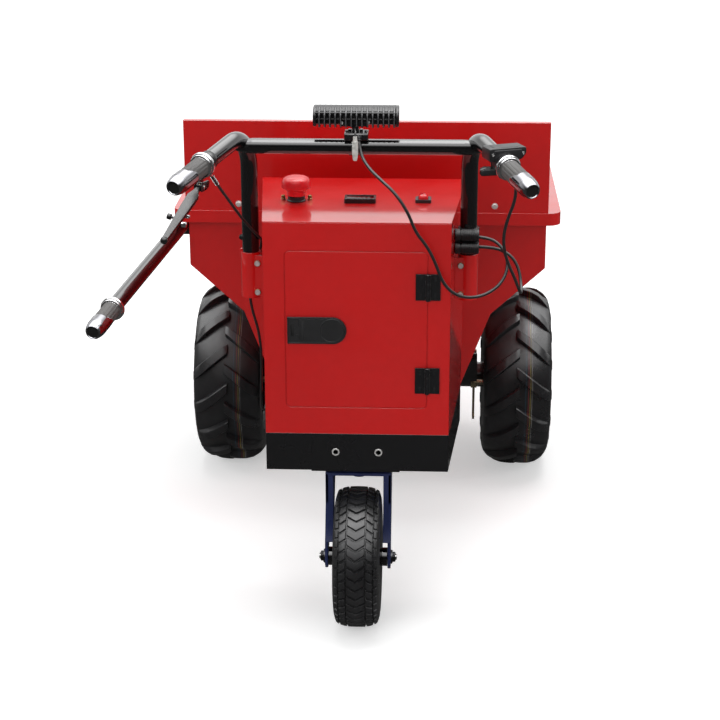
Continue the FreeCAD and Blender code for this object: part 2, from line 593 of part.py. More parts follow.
def cabinet():
    y0 = REAR_Y + SHEET
    top = CAB_TOP_Z - SHEET
    side = side_panel()
    inner = [half_width(y) - SHEET_X for y in (y0, front_y(BASE_Z1) - SHEET_Y)]
    floor_y = front_y(BASE_Z1) - SHEET_Y
    floor = prism([(-inner[0], y0, BASE_Z1), (inner[0], y0, BASE_Z1), (inner[1], floor_y, BASE_Z1),
                   (-inner[1], floor_y, BASE_Z1)], (0, 0, SHEET))
    low, high = front_y(BASE_Z1), front_y(top)
    front = loft_sheet([(half_width(low - SHEET_Y) - SHEET_X, low, BASE_Z1),
                        (half_width(high - SHEET_Y) - SHEET_X, high, top)], SHEET_Y)
    roof_y = front_y(CAB_TOP_Z)
    roof = prism([(-half_width(REAR_Y), REAR_Y, top), (half_width(REAR_Y), REAR_Y, top),
                  (half_width(roof_y), roof_y, top), (-half_width(roof_y), roof_y, top)], (0, 0, SHEET))
    roof = roof.cut(rod(11.2, (ESTOP_X, ESTOP_Y, top - 1), (ESTOP_X, ESTOP_Y, CAB_TOP_Z + 1)))
    roof = roof.cut(box(SWITCH_X - 11.2, SWITCH_X + 11.2, SWITCH_Y - 11.2, SWITCH_Y + 11.2, top - 1, CAB_TOP_Z + 1))
    node("cabinet_shell", floor, side, mirrored(side), front, roof)
    face = box(-BASE_HALF_W, BASE_HALF_W, REAR_Y, y0, BASE_Z1, top)
    g = DOOR_GAP
    hole = rounded_box(DOOR_X0 - g, DOOR_X1 + g, REAR_Y - 1, y0 + 1, DOOR_Z0 - g, DOOR_Z1 + g, DOOR_CORNER_R + g, UY)
    node("cabinet_face_frame", face.cut(hole))
    door()
    inside()
    dash()


def loft_sheet(corners, thickness):
    """A sheet between a low and a high edge, mirrored left to right, of a thickness measured along Y."""
    (xa, ya, za), (xb, yb, zb) = corners
    return prism([(-xa, ya, za), (xa, ya, za), (xb, yb, zb), (-xb, yb, zb)], (0, -thickness, 0))


def door():
    panel = rounded_box(DOOR_X0, DOOR_X1, REAR_Y, REAR_Y + SHEET, DOOR_Z0, DOOR_Z1, DOOR_CORNER_R, UY)
    inset = 6.0
    back = REAR_Y + SHEET + DOOR_RETURN
    rim = rounded_box(DOOR_X0 + inset, DOOR_X1 - inset, REAR_Y + SHEET, back, DOOR_Z0 + inset, DOOR_Z1 - inset, 6, UY)
    rim = rim.cut(box(DOOR_X0 + inset + SHEET, DOOR_X1 - inset - SHEET, REAR_Y, back + 1, DOOR_Z0 + inset + SHEET,
                      DOOR_Z1 - inset - SHEET))
    middle = (LATCH_Z0 + LATCH_Z1) / 2
    panel = panel.cut(box(LATCH_X0 + 8, LATCH_X1 - 26, REAR_Y - 1, REAR_Y + SHEET + 1, middle - 15, middle + 15))
    node("cabinet_door", panel.fuse(rim))
    frame_leaves, door_leaves = [], []
    for z in HINGE_Z:
        frame_leaves.append(hinge_leaf(z, 1))
        frame_leaves.append(rod(HINGE_PIN_R, (HINGE_X, HINGE_Y, z - HINGE_HEIGHT / 2),
                                (HINGE_X, HINGE_Y, z + HINGE_HEIGHT / 2)))
        door_leaves.append(hinge_leaf(z, -1))
    node("hinge_frame_leaves", *frame_leaves)
    node("hinge_door_leaves", *door_leaves)
    latch(middle)


def hinge_leaf(z, side):
    """One leaf of a hinge with its knuckles: two outer ones on the frame side, one middle one on the door."""
    low, high = z - HINGE_HEIGHT / 2, z + HINGE_HEIGHT / 2
    x0, x1 = sorted((HINGE_X + side * 0.4, HINGE_X + side * HINGE_LEAF))
    leaf = box(x0, x1, REAR_Y - HINGE_T, REAR_Y, low, high)
    third = HINGE_HEIGHT / 3
    spans = [(low, low + third), (high - third, high)] if side > 0 else [(low + third + 0.3, high - third - 0.3)]
    clear = [(low + third, high - third)] if side > 0 else [(low, low + third + 0.3), (high - third - 0.3, high)]
    for a, b in clear:
        leaf = leaf.cut(rod(KNUCKLE_R + 0.5, (HINGE_X, HINGE_Y, a), (HINGE_X, HINGE_Y, b)))
    for a, b in spans:
        leaf = leaf.fuse(rod(KNUCKLE_R, (HINGE_X, HINGE_Y, a), (HINGE_X, HINGE_Y, b)))
    bore = HINGE_PIN_R + RUN_GAP
    return leaf.cut(rod(bore, (HINGE_X, HINGE_Y, low - 1), (HINGE_X, HINGE_Y, high + 1)))


def stadium(x0, x1, y0, y1, z0, z1):
    """A plate square at its left end and half round at its right end."""
    r = (z1 - z0) / 2
    middle = (z0 + z1) / 2
    return box(x0, x1 - r, y0, y1, z0, z1).fuse(rod(r, (x1 - r, y0, middle), (x1 - r, y1, middle))).removeSplitter()


def latch(middle):
    """Flush paddle latch: a black dish with a paddle hinged at its left and a bolt behind the door."""
    front = REAR_Y - LATCH_PROUD
    dish = stadium(LATCH_X0, LATCH_X1, front, REAR_Y, LATCH_Z0, LATCH_Z1)
    pocket = stadium(LATCH_X0 + 20, LATCH_X1 - 3, front - 1, REAR_Y - 1.2, LATCH_Z0 + 3, LATCH_Z1 - 3)
    tongue = box(LATCH_X0 + 6, LATCH_X0 + 21, front - 1, REAR_Y - 1.2, middle - 7, middle + 7)
    case = box(LATCH_X0 + 8.5, LATCH_X1 - 26.5, REAR_Y, REAR_Y + 20, middle - 14.5, middle + 14.5)
    bolt = box(LATCH_X0 - 9, LATCH_X0 + 9, REAR_Y + 6, REAR_Y + 12, middle - 9, middle + 9)
    bolt_clear = box(DOOR_X0 - 4, DOOR_X0 + 10, REAR_Y + SHEET, REAR_Y + SHEET + DOOR_RETURN + 1, middle - 10, middle + 10)
    NODES["cabinet_door"] = NODES["cabinet_door"][0].cut(bolt_clear).Solids
    node("latch_body", dish.cut([pocket, tongue]).fuse([case, bolt]).removeSplitter())
    g = 0.4
    paddle = stadium(LATCH_X0 + 20 + g, LATCH_X1 - 3 - g, front, REAR_Y - 1.2 - g, LATCH_Z0 + 3 + g, LATCH_Z1 - 3 - g)
    tail = box(LATCH_X0 + 11, LATCH_X0 + 21, front, REAR_Y - 1.2 - g, middle - 7 + g, middle + 7 - g)
    node("latch_paddle", fused([paddle, tail]))


def inside():
    """What the cabinet carries: two batteries and the motor controller."""
    z0 = BASE_Z1 + SHEET
    cases = []
    for x0 in (-134, 4):
        case = rounded_box(x0, x0 + 130, -806, -640, z0, z0 + 170, 5, UZ)
        terminals = [rod(6, (x0 + x, -780, z0 + 170), (x0 + x, -780, z0 + 180)) for x in (25, 105)]
        cases.append(fused([case] + terminals))
    node("batteries", *cases)
    low, high, deep = 600.0, 705.0, 38.0
    back_low, back_high = front_y(low) - SHEET_Y - 0.05, front_y(high) - SHEET_Y - 0.05
    node("motor_controller", prism([(-75, back_low, low), (-75, back_high, high), (-75, back_high - deep, high),
                                    (-75, back_low - deep, low)], (150, 0, 0)))


def dash():
    """Emergency stop, charge gauge and power switch on the roof of the cabinet."""
    z = CAB_TOP_Z
    x, y = ESTOP_X, ESTOP_Y
    collar = pipe(14.5, 8.3, (x, y, z), (x, y, z + 9))
    block = rod(11, (x, y, z - 26), (x, y, z)).cut(rod(8.3, (x, y, z - 18), (x, y, z)))
    contact = box(x - 18, x + 18, y - 18, y + 18, z - 44, z - 26)
    node("e_stop_base", fused([collar, block, contact]))
    cap_z = z + ESTOP_HEIGHT
    outline = [(0, -12), (8, -12), (8, 14), (13, 16), (14, 23), (ESTOP_CAP_R - 1.5, 27), (ESTOP_CAP_R, 29),
               (ESTOP_CAP_R, 38), (ESTOP_CAP_R - 2, 42), (ESTOP_CAP_R - 9, 45.2), (0, cap_z - z)]
    node("e_stop_button", revolved(outline, (x, y, z), UZ))
    screws = []
    for side in (-1, 1):
        shank = rod(2.5, (x + side * 23.8, y + 6, z), (x + side * 23.8, y + 6, z + 6))
        screws.append(shank.fuse(rod(4.5, (x + side * 23.8, y + 6, z), (x + side * 23.8, y + 6, z + 3))))
    for side in (-1, 1):
        for sz in SOCKET_SCREW_Z:
            start = (side * SOCKET_SCREW_X, POST_Y - 21, sz)
            screws.append(rod(5.5, start, (side * SOCKET_SCREW_X, POST_Y - 16.2, sz)).cut(
                rod(2.5, start, (side * SOCKET_SCREW_X, POST_Y - 18.8, sz))))
    FASTENERS.extend(screws)
    bezel = rounded_box(GAUGE_X - 28, GAUGE_X + 28, GAUGE_Y - 17, GAUGE_Y + 17, z, z + 8, 4, UZ)
    bezel = bezel.cut(box(GAUGE_X - 24, GAUGE_X + 24, GAUGE_Y - 13, GAUGE_Y + 13, z + 6, z + 9))
    node("charge_gauge", bezel)
    x, y = SWITCH_X, SWITCH_Y
    base = rounded_box(x - 14, x + 14, y - 14, y + 14, z, z + 6, 3, UZ)
    base = base.fuse(box(x - 11, x + 11, y - 11, y + 11, z - 18, z)).cut(box(x - 9, x + 9, y - 11.5, y + 11.5, z - 9, z + 7))
    node("switch_base", base)
    pivot_z = z + 2
    rocker = rod(10.5, (x - 8.6, y, pivot_z + 2), (x + 8.6, y, pivot_z + 2))
    rocker = rocker.common(box(x - 8.6, x + 8.6, y - 10.5, y + 10.5, z - 6, z + 15))
    node("switch_rocker", rocker)


def handlebar():
    """Two bent tubes in sockets on the cabinet sides, with a crossbar, grips and controls."""
    shoulder = GRIP_FOOT - ARM_DIR * 0.5
    tube = bent_tube([(POST_X, POST_Y, POST_FOOT_Z), tuple(ARM_ROOT), tuple(shoulder)], TUBE_R, TUBE_WALL, BEND_R)
    plug = rod(TUBE_R - TUBE_WALL, tuple(shoulder - ARM_DIR * 16), tuple(shoulder))
    stub = rod(STUB_R, tuple(shoulder - ARM_DIR * 2), tuple(GRIP_POINT - ARM_DIR * 8))
    arm = fused([tube, plug, stub])
    node("handle_tube_right", arm)
    node("handle_tube_left", mirrored(arm))
    solid_path, _ = bent_path([(POST_X, POST_Y, POST_FOOT_Z), tuple(ARM_ROOT), tuple(shoulder)], BEND_R)
    solid_tube = swept(solid_path, TUBE_R + CLAMP_GAP)
    straight = CROSSBAR_HALF - CROSSBAR_TAPER
    bar = revolved([(0, -CROSSBAR_HALF), (5, -CROSSBAR_HALF), (11, -CROSSBAR_HALF + 16), (CROSSBAR_R, -straight),
                    (CROSSBAR_R, straight), (11, CROSSBAR_HALF - 16), (5, CROSSBAR_HALF), (0, CROSSBAR_HALF)],
                   (0, CROSSBAR_Y, CROSSBAR_Z), UX)
    bar = bar.cut(rod(CROSSBAR_R - TUBE_WALL, (-straight, CROSSBAR_Y, CROSSBAR_Z), (straight, CROSSBAR_Y, CROSSBAR_Z)))
    bar = bar.cut([solid_tube, mirrored(solid_tube)])
    node("crossbar", max(bar.Solids, key=lambda s: s.Volume))
    sleeve = rod(SOCKET_R, (POST_X, POST_Y, SOCKET_Z0), (POST_X, POST_Y, SOCKET_Z1))
    pad = prism([(half_width(POST_Y - 20), POST_Y - 20, SOCKET_Z0 + 4), (half_width(POST_Y + 20), POST_Y + 20, SOCKET_Z0 + 4),
                 (POST_X - 4, POST_Y + 15, SOCKET_Z0 + 4), (POST_X - 4, POST_Y - 15, SOCKET_Z0 + 4)],
                (0, 0, SOCKET_Z1 - SOCKET_Z0 - 8))
    socket = sleeve.fuse(pad).cut(rod(SOCKET_BORE, (POST_X, POST_Y, SOCKET_Z0 + 3), (POST_X, POST_Y, SOCKET_Z1 + 1)))
    trim = prism([(half_width(POST_Y - 40), POST_Y - 40, SOCKET_Z0 - 1), (half_width(POST_Y + 40), POST_Y + 40, SOCKET_Z0 - 1),
                  (100, POST_Y + 40, SOCKET_Z0 - 1), (100, POST_Y - 40, SOCKET_Z0 - 1)], (0, 0, SOCKET_Z1 - SOCKET_Z0 + 2))
    seats = [rod(5.6, (SOCKET_SCREW_X, POST_Y - 25, z), (SOCKET_SCREW_X, POST_Y - 16.2, z)) for z in SOCKET_SCREW_Z]
    socket = socket.cut(trim).cut(seats)
    node("handle_sockets", socket, mirrored(socket))
    grip = grip_solid()
    spot = local_frame(GRIP_FOOT, ARM_DIR.cross(UZ), UZ - ARM_DIR * UZ.dot(ARM_DIR))
    right = placed(grip, spot)
    node("throttle_grip", right)
    node("left_grip", mirrored(right))
    throttle_housing()
    brake_lever()


def grip_solid():
    """A grip along minus Z of its own frame: flange, rubber body and end ring, with a bore for the stub."""
    bore = STUB_R + RUN_GAP
    outline = [(bore, 0), (GRIP_FLANGE_R - 1, 0), (GRIP_FLANGE_R, 1), (GRIP_FLANGE_R, 7), (GRIP_R + 1.5, 9.5), (GRIP_R, 12),
               (GRIP_R, 62), (GRIP_R + 0.7, 64), (GRIP_R + 0.7, 88), (15, 98), (13.5, 103), (12, GRIP_LEN),
               (8, GRIP_LEN), (8, GRIP_LEN - 3), (0, GRIP_LEN - 3), (0, GRIP_LEN - 7), (bore, GRIP_LEN - 7)]
    return revolved([(r, -a) for r, a in outline], (0, 0, 0), UZ)


def throttle_housing():
    """Black switch box clamped on the right arm just ahead of the grip."""
    centre = GRIP_FOOT - ARM_DIR * 13
    ring = pipe(TUBE_R + 4.5, TUBE_R + CLAMP_GAP, tuple(centre - ARM_DIR * 10), tuple(centre + ARM_DIR * 10))
    body = rounded_box(centre.x - 24, centre.x + 39, centre.y - 8, centre.y + 32, centre.z + 12, centre.z + 39, 5, UY)
    body = body.cut(rod(TUBE_R + CLAMP_GAP, tuple(centre - ARM_DIR * 60), tuple(centre + ARM_DIR * 60)))
    thumb = rod(4.5, (centre.x - 42, centre.y + 2, centre.z - 9), (centre.x - 12, centre.y + 2, centre.z - 7))
    thumb = thumb.cut(rod(TUBE_R + CLAMP_GAP, tuple(centre - ARM_DIR * 60), tuple(centre + ARM_DIR * 60)))
    boss = rod(6, THROTTLE_ROUTE[0], tuple(before(THROTTLE_ROUTE, 18)))
    boss = boss.cut(rod(TUBE_R + CLAMP_GAP, tuple(centre - ARM_DIR * 60), tuple(centre + ARM_DIR * 60)))
    housing = fused([ring, body, thumb, boss])
    housing = housing.cut(rod(GRIP_FLANGE_R + 1, tuple(GRIP_FOOT - ARM_DIR * 0.8), tuple(GRIP_FOOT + ARM_DIR * 60)))
    node("throttle_housing", max(housing.Solids, key=lambda solid: solid.Volume))


LEVER_PIVOT = V(-262, -884, 842)
LEVER_TIP = V(-309, -1000, 777)
LEVER_LEN = (LEVER_TIP - LEVER_PIVOT).Length


def brake_lever():
    """Brake lever under the left grip, in a clamped perch, with a parking lock button on its edge."""
    along = (LEVER_TIP - LEVER_PIVOT).normalize()
    to_grip = V(-GRIP_END[0], GRIP_END[1], GRIP_END[2]) - LEVER_PIVOT
    axis = along.cross(to_grip).normalize()
    spot = local_frame(LEVER_PIVOT, axis, along)
    blade = prism([(-3.8, -7, -4), (3.8, -7, -4), (3.8, 12, -4), (9.5, 26, -4), (8.5, 60, -4), (4.5, LEVER_LEN - 8, -4),
                   (-4.5, LEVER_LEN - 8, -4), (-8.5, 60, -4), (-9.5, 26, -4), (-3.8, 12, -4)], (0, 0, 7))
    ball = Part.makeSphere(6.5, V(0, LEVER_LEN - 4, -0.5))
    nose = rod(7, (-3.8, 0, 0), (3.8, 0, 0))
    lever = fused([blade, ball, nose]).cut(rod(3 + RUN_GAP, (-5, 0, 0), (5, 0, 0)))
    lever = lever.cut(rod(2.2, (4, 84, -0.5), (16, 84, -0.5)))
    knob = fused([rod(2.1, (4.1, 84, -0.5), (13, 84, -0.5)), rod(5, (13, 84, -0.5), (19, 84, -0.5))])
    node("brake_lever", placed(lever, spot), placed(knob, spot))
    foot = V(-GRIP_FOOT.x, GRIP_FOOT.y, GRIP_FOOT.z)
    heading = V(-ARM_DIR.x, ARM_DIR.y, ARM_DIR.z)
    centre = foot - heading * 14
    to_clamp = centre - LEVER_PIVOT
    reach = to_clamp.Length
    stem = to_clamp - axis * to_clamp.dot(axis)
    hanger_spot = local_frame(LEVER_PIVOT, axis, stem)
    pieces = [rod(3, (-10, 0, 0), (10, 0, 0))]
    for side in (-1, 1):
        x0, x1 = sorted((side * 4.2, side * 7.2))
        pieces.append(rod(9, (x0, 0, 0), (x1, 0, 0)))
        pieces.append(box(x0, x1, 0, 24, -8, 8))
    pieces.append(box(-7.2, 7.2, 14, reach - 4, -8, 8))
    hanger = placed(fused(pieces), hanger_spot)
    ring = rod(TUBE_R + 5, tuple(centre - heading * 10), tuple(centre + heading * 10))
    barrel = rod(5, BRAKE_ROUTE[0], tuple(before(BRAKE_ROUTE, 26)))
    perch = fused([hanger, ring, barrel])
    perch = perch.cut(rod(TUBE_R + CLAMP_GAP, tuple(centre - heading * 45), tuple(centre + heading * 40)))
    perch = perch.cut(rod(GRIP_FLANGE_R + 1, tuple(foot - heading * 0.8), tuple(foot + heading * 40)))
    node("brake_perch", max(perch.Solids, key=lambda solid: solid.Volume))


def before(route, distance):
    """The point a distance back from the start of a route, in line with its first run."""
    start, second = V(*route[0]), V(*route[1])
    return start + (start - second).normalize() * distance


def work_light():
    """Finned bar light that tilts in a bracket clamped on the crossbar."""
    x0, x1 = LIGHT_X - LIGHT_W / 2, LIGHT_X + LIGHT_W / 2
    z0, z1 = LIGHT_Z0, LIGHT_Z0 + LIGHT_H
    back, front = CROSSBAR_Y - LIGHT_D / 2, CROSSBAR_Y + LIGHT_D / 2
    core = rounded_box(x0 + 3, x1 - 3, back + 14, front, z0 + 2, z1 - 2, 6, UY)
    fins = [rounded_box(x0 + 5 + i * (LIGHT_W - 13) / (LIGHT_FINS - 1), x0 + 8 + i * (LIGHT_W - 13) / (LIGHT_FINS - 1),
                        back, back + 16, z0 + 1, z1 - 1, 1.2, UX) for i in range(LIGHT_FINS)]
    ears = []
    for x in (LIGHT_X - 18, LIGHT_X + 13):
        ears.append(box(x, x + 5, CROSSBAR_Y - 6, CROSSBAR_Y + 6, TILT_Z, z0 + 3))
        ears.append(rod(6, (x, CROSSBAR_Y, TILT_Z), (x + 5, CROSSBAR_Y, TILT_Z)))
    core = core.fuse(fins + ears)
    groove = box(x0, x1, back - 1, back + 9, (z0 + z1) / 2 - 1.5, (z0 + z1) / 2 + 1.5)
    core = core.cut(groove).cut(rounded_box(x0 + 8, x1 - 8, front - 5, front + 1, z0 + 7, z1 - 7, 3, UY))
    core = core.cut(rod(3 + RUN_GAP, (x0, CROSSBAR_Y, TILT_Z), (x1, CROSSBAR_Y, TILT_Z)))
    node("work_light_housing", core)
    lens = rounded_box(x0 + 8.2, x1 - 8.2, front - 4.8, front - 1.5, z0 + 7.2, z1 - 7.2, 3, UY)
    node("work_light_lens", lens)
    ring = pipe(CROSSBAR_R + 5, CROSSBAR_R + CLAMP_GAP, (LIGHT_X - 21, CROSSBAR_Y, CROSSBAR_Z),
                (LIGHT_X + 21, CROSSBAR_Y, CROSSBAR_Z))
    cheeks = [box(x, x + 3, CROSSBAR_Y - 9, CROSSBAR_Y + 9, CROSSBAR_Z + 10, TILT_Z + 5)
              for x in (LIGHT_X - 21.4, LIGHT_X + 18.4)]
    bolt = rod(3, (LIGHT_X - 26, CROSSBAR_Y, TILT_Z), (LIGHT_X + 26, CROSSBAR_Y, TILT_Z))
    heads = [hex_head(10, 4, (LIGHT_X + 21.4, CROSSBAR_Y, TILT_Z), UX), hex_head(10, 4, (LIGHT_X - 25.4, CROSSBAR_Y, TILT_Z), UX)]
    exit_point = LIGHT_ROUTE[0]
    gland = rod(5, exit_point, tuple(before(LIGHT_ROUTE, 8)))
    rest = box(exit_point[0] - 4, exit_point[0] + 4, exit_point[1], CROSSBAR_Y - 11, exit_point[2] + 3, exit_point[2] + 8)
    clear = rod(CROSSBAR_R + CLAMP_GAP, (-60, CROSSBAR_Y, CROSSBAR_Z), (60, CROSSBAR_Y, CROSSBAR_Z))
    bracket = fused([ring, bolt, gland, rest] + cheeks + heads).cut(clear)
    node("work_light_bracket", bracket)
    plug = rounded_box(-9.5, -0.5, -816, -808, 872, 899, 2, UZ)
    lead = rod(1.8, (-5, -812, 898), (-5, -795, LIGHT_Z0 + 0.98))
    lead = lead.common(box(-10, 0, -830, -780, 880, LIGHT_Z0 + 0.98))
    node("light_connector", plug.fuse(lead))


LIGHT_ROUTE = [(2, -799, 902), (5, -809, 884), (17, -829, 866), (38, -850, 850), (67, -867, 828), (88, -873, 797),
               (101, -871, 762), (121, -869, 737), (136, -867, 706), (147, -866, 674), (167, -861, 650),
               (196, -847, 639), (226, -828, 641), (251, -810, 656), (262, -795, 681), (256, -783, 706),
               (238, -774, 723), (214, -772, 728), (192, -772, 728.4), (169.2, -772, 728)]
THROTTLE_ROUTE = [(266, -889, 866), (268, -889, 844), (266, -884, 820), (257, -872, 791), (250, -862, 760),
                  (251, -857, 731), (259, -853, 704), (270, -850, 680), (280, -840, 652), (285, -817, 639),
                  (285, -793, 650), (281, -782, 674), (268, -776, 696), (244, -773, 708), (216, -772, 710.3),
                  (192, -772, 709.6), (169.2, -772, 710)]
BRAKE_ROUTE = [(-244, -876, 861), (-235, -857, 838), (-218, -826, 800), (-201, -799, 764), (-185, -780, 738),
               (-174.4, -763, 720), (-174.2, -740, 711), (-177, -719, 692), (-186, -706, 664), (-197, -700, 632),
               (-202, -700, 598), (-197, -699, 564), (-188, -695, 530), (-184, -690, 494), (-184, -684, 456),
               (-186, -674, 418), (-189, -656, 382), (-192, -628, 352), (-193, -592, 332), (-190, -557, 318),
               (-177, -529, 313.5), (-156, -516, 313), (-135.2, -515, 313)]
BRAKE_LEFT_ROUTE = [(-128, -499.8, 313), (-130, -470, 312), (-144, -434, 310), (-164, -396, 302), (-173, -346, 292),
                    (-174, -290, 286), (-175, -236, 282), (-183, -184, 278), (-199, -138, 273), (-221.5, -96.2, 270)]
BRAKE_RIGHT_ROUTE = [(-104.8, -515, 313), (-76, -514, 312), (-28, -509, 311), (30, -508, 311), (82, -507, 311.5),
                     (124, -496, 312), (154, -466, 309), (169, -422, 301), (173, -366, 291), (174, -308, 286),
                     (175, -252, 282), (182, -196, 278), (198, -144, 273), (221.5, -96.2, 270)]


def cables():
    node("light_cable", cord("light_cable", LIGHT_ROUTE, CABLE_D))
    node("throttle_cable", cord("throttle_cable", THROTTLE_ROUTE, CABLE_D))
    main = cord("brake_cable", BRAKE_ROUTE, BRAKE_CABLE_D)
    left = cord("brake_cable_left", BRAKE_LEFT_ROUTE, BRAKE_CABLE_D)
    right = cord("brake_cable_right", BRAKE_RIGHT_ROUTE, BRAKE_CABLE_D)
    splitter = rounded_box(-135, -105, -530, -500, RAIL_Z1, RAIL_Z1 + 16, 3, UZ)
    node("brake_cable", main, left, right, splitter)
    ring = pipe(TUBE_R + 4, TUBE_R + CLAMP_GAP, (POST_X, POST_Y, CLIP_THROTTLE_Z - 14), (POST_X, POST_Y, CLIP_LIGHT_Z + 8))
    block = rounded_box(178.5, 212, CLIP_Y - 6, POST_Y, CLIP_THROTTLE_Z - 14, CLIP_LIGHT_Z + 8, 3, UZ)
    block = block.cut(rod(TUBE_R + CLAMP_GAP, (POST_X, POST_Y, 600), (POST_X, POST_Y, 800)))
    clip = ring.fuse(block)
    for z in (CLIP_LIGHT_Z, CLIP_THROTTLE_Z):
        clip = clip.cut(rod(CABLE_D / 2 + 0.7, (160, CLIP_Y, z), (230, CLIP_Y, z)))
    node("cable_clip", clip)


def tub_side():
    """Right side of the tub: one sheet with two folds, cut to the slope of the front wall."""
    outer = [V(x, 0, z) for x, z in TUB_SECTION]
    t = TUB_SHEET
    inner = [V(187 - t * 0.2, 0, 325), V(205 - t * 1.05, 0, 371 + t * 0.1), V(244 - t * 1.2, 0, 473 + t * 0.9),
             V(348 - t, 0, 568 + t * 0.5), V(348 - t, 0, 682)]
    outline = [(p.x, TUB_REAR_Y + t, p.z) for p in outer] + [(p.x, TUB_REAR_Y + t, p.z) for p in reversed(inner)]
    length = TUB_FRONT_Y - TUB_REAR_Y
    return prism(outline, (0, length, 0)).cut(front_cutter())


def front_point(z):
    share = (z - TUB_SECTION[0][1]) / (TUB_SECTION[-1][1] - TUB_SECTION[0][1])
    return TUB_FLOOR_FRONT_Y + (TUB_FRONT_Y - TUB_FLOOR_FRONT_Y) * share


def front_slant():
    """Depth of the sloping front sheet along Y."""
    rise = TUB_SECTION[-1][1] - TUB_SECTION[0][1]
    return TUB_SHEET * math.hypot(1, (TUB_FRONT_Y - TUB_FLOOR_FRONT_Y) / rise)


def front_cutter():
    """Everything ahead of the inner face of the sloping front wall."""
    z0, z1 = TUB_SECTION[0][1] - 30, TUB_SECTION[-1][1] + 30
    slant = front_slant()
    return prism([(-500, front_point(z0) - slant, z0), (-500, front_point(z1) - slant, z1), (-500, 700, z1),
                  (-500, 700, z0)], (1000, 0, 0))


def tub():
    """Steel tub: floor with pivot brackets, end walls, folded sides, a rim and a splash panel."""
    t = TUB_SHEET
    floor_z = TUB_SECTION[0][1]
    half = TUB_SECTION[0][0]
    floor = box(-half, half, TUB_REAR_Y, TUB_FLOOR_FRONT_Y, floor_z - t, floor_z)
    bracket = box(67, 73, PIVOT_Y - 13, PIVOT_Y + 25, PIVOT_Z, floor_z - t)
    bracket = bracket.fuse(rod(13, (67, PIVOT_Y, PIVOT_Z), (73, PIVOT_Y, PIVOT_Z)))
    bracket = bracket.cut(rod(PIVOT_R + RUN_GAP, (60, PIVOT_Y, PIVOT_Z), (80, PIVOT_Y, PIVOT_Z)))
    node("tub_floor", fused([floor, bracket, mirrored(bracket)]))
    section = [(x, z) for x, z in TUB_SECTION]
    rear = [(x, TUB_REAR_Y, z) for x, z in section] + [(-x, TUB_REAR_Y, z) for x, z in reversed(section)]
    node("tub_rear_wall", prism(rear, (0, t, 0)))
    slant = front_slant()
    slab = prism([(-400, TUB_FLOOR_FRONT_Y, floor_z), (-400, TUB_FRONT_Y, section[-1][1]),
                  (-400, TUB_FRONT_Y - slant, section[-1][1]), (-400, TUB_FLOOR_FRONT_Y - slant, floor_z)], (800, 0, 0))
    outline = [(x, 0, z) for x, z in section] + [(-x, 0, z) for x, z in reversed(section)]
    node("tub_front_wall", slab.common(prism(outline, (0, 600, 0))))
    side = tub_side()
    node("tub_side_right", side)
    node("tub_side_left", mirrored(side))
    top = section[-1][1]
    wide, long_rear, long_front = section[-1][0], TUB_REAR_Y, TUB_FRONT_Y
    outer = rounded_box(-wide - RIM_OUT, wide + RIM_OUT, long_rear - RIM_OUT, long_front + RIM_OUT, RIM_Z - RIM_LIP, RIM_Z,
                        RIM_CORNER_R, UZ)
    under = rounded_box(-wide - RIM_OUT + t, wide + RIM_OUT - t, long_rear - RIM_OUT + t, long_front + RIM_OUT - t,
                        RIM_Z - RIM_LIP - 1, top, RIM_CORNER_R - t, UZ)
    mouth = box(-wide + t, wide - t, long_rear + t, long_front - t, top - 1, RIM_Z + 1)
    node("tub_rim", outer.cut(under).cut(mouth))
    splash_panel()


def splash_panel():
    back = TUB_REAR_Y - RIM_OUT
    panel = box(-PANEL_HALF_W, PANEL_HALF_W, back + 2, back + 5, RIM_Z, PANEL_TOP_Z)
    foot = box(-PANEL_HALF_W, PANEL_HALF_W, back + 5, back + 24, RIM_Z, RIM_Z + 3)
    ends = [box(x, x + 3, back + 5, back + 17, RIM_Z + 3, PANEL_TOP_Z) for x in (-PANEL_HALF_W, PANEL_HALF_W - 3)]
    lip = box(-PANEL_HALF_W, PANEL_HALF_W, back + 5, back + 17, PANEL_TOP_Z - 3, PANEL_TOP_Z)
    node("splash_panel", fused([panel, foot, lip] + ends))
    bolts = []
    for x in (-247, -80, 80, 247):
        y = back + 15
        head = hex_head(13, 5, (x, y, RIM_Z + 3), UZ)
        bolts.append(head.fuse(rod(4, (x, y, RIM_Z + 3), (x, y, RIM_Z + 9))))
    for x in (-247, 247):
        bolts.append(hex_head(11, 4, (x, back + 2, RIM_Z + 13), V(0, -1, 0)))
    for y in (-340, -180):
        bolts.append(hex_head(11, 4.5, (DUMP_BEND[0] - 17.5, y, DUMP_BEND[2] - 20), V(-1, 0, 0)))
    node("tub_bolts", *bolts)


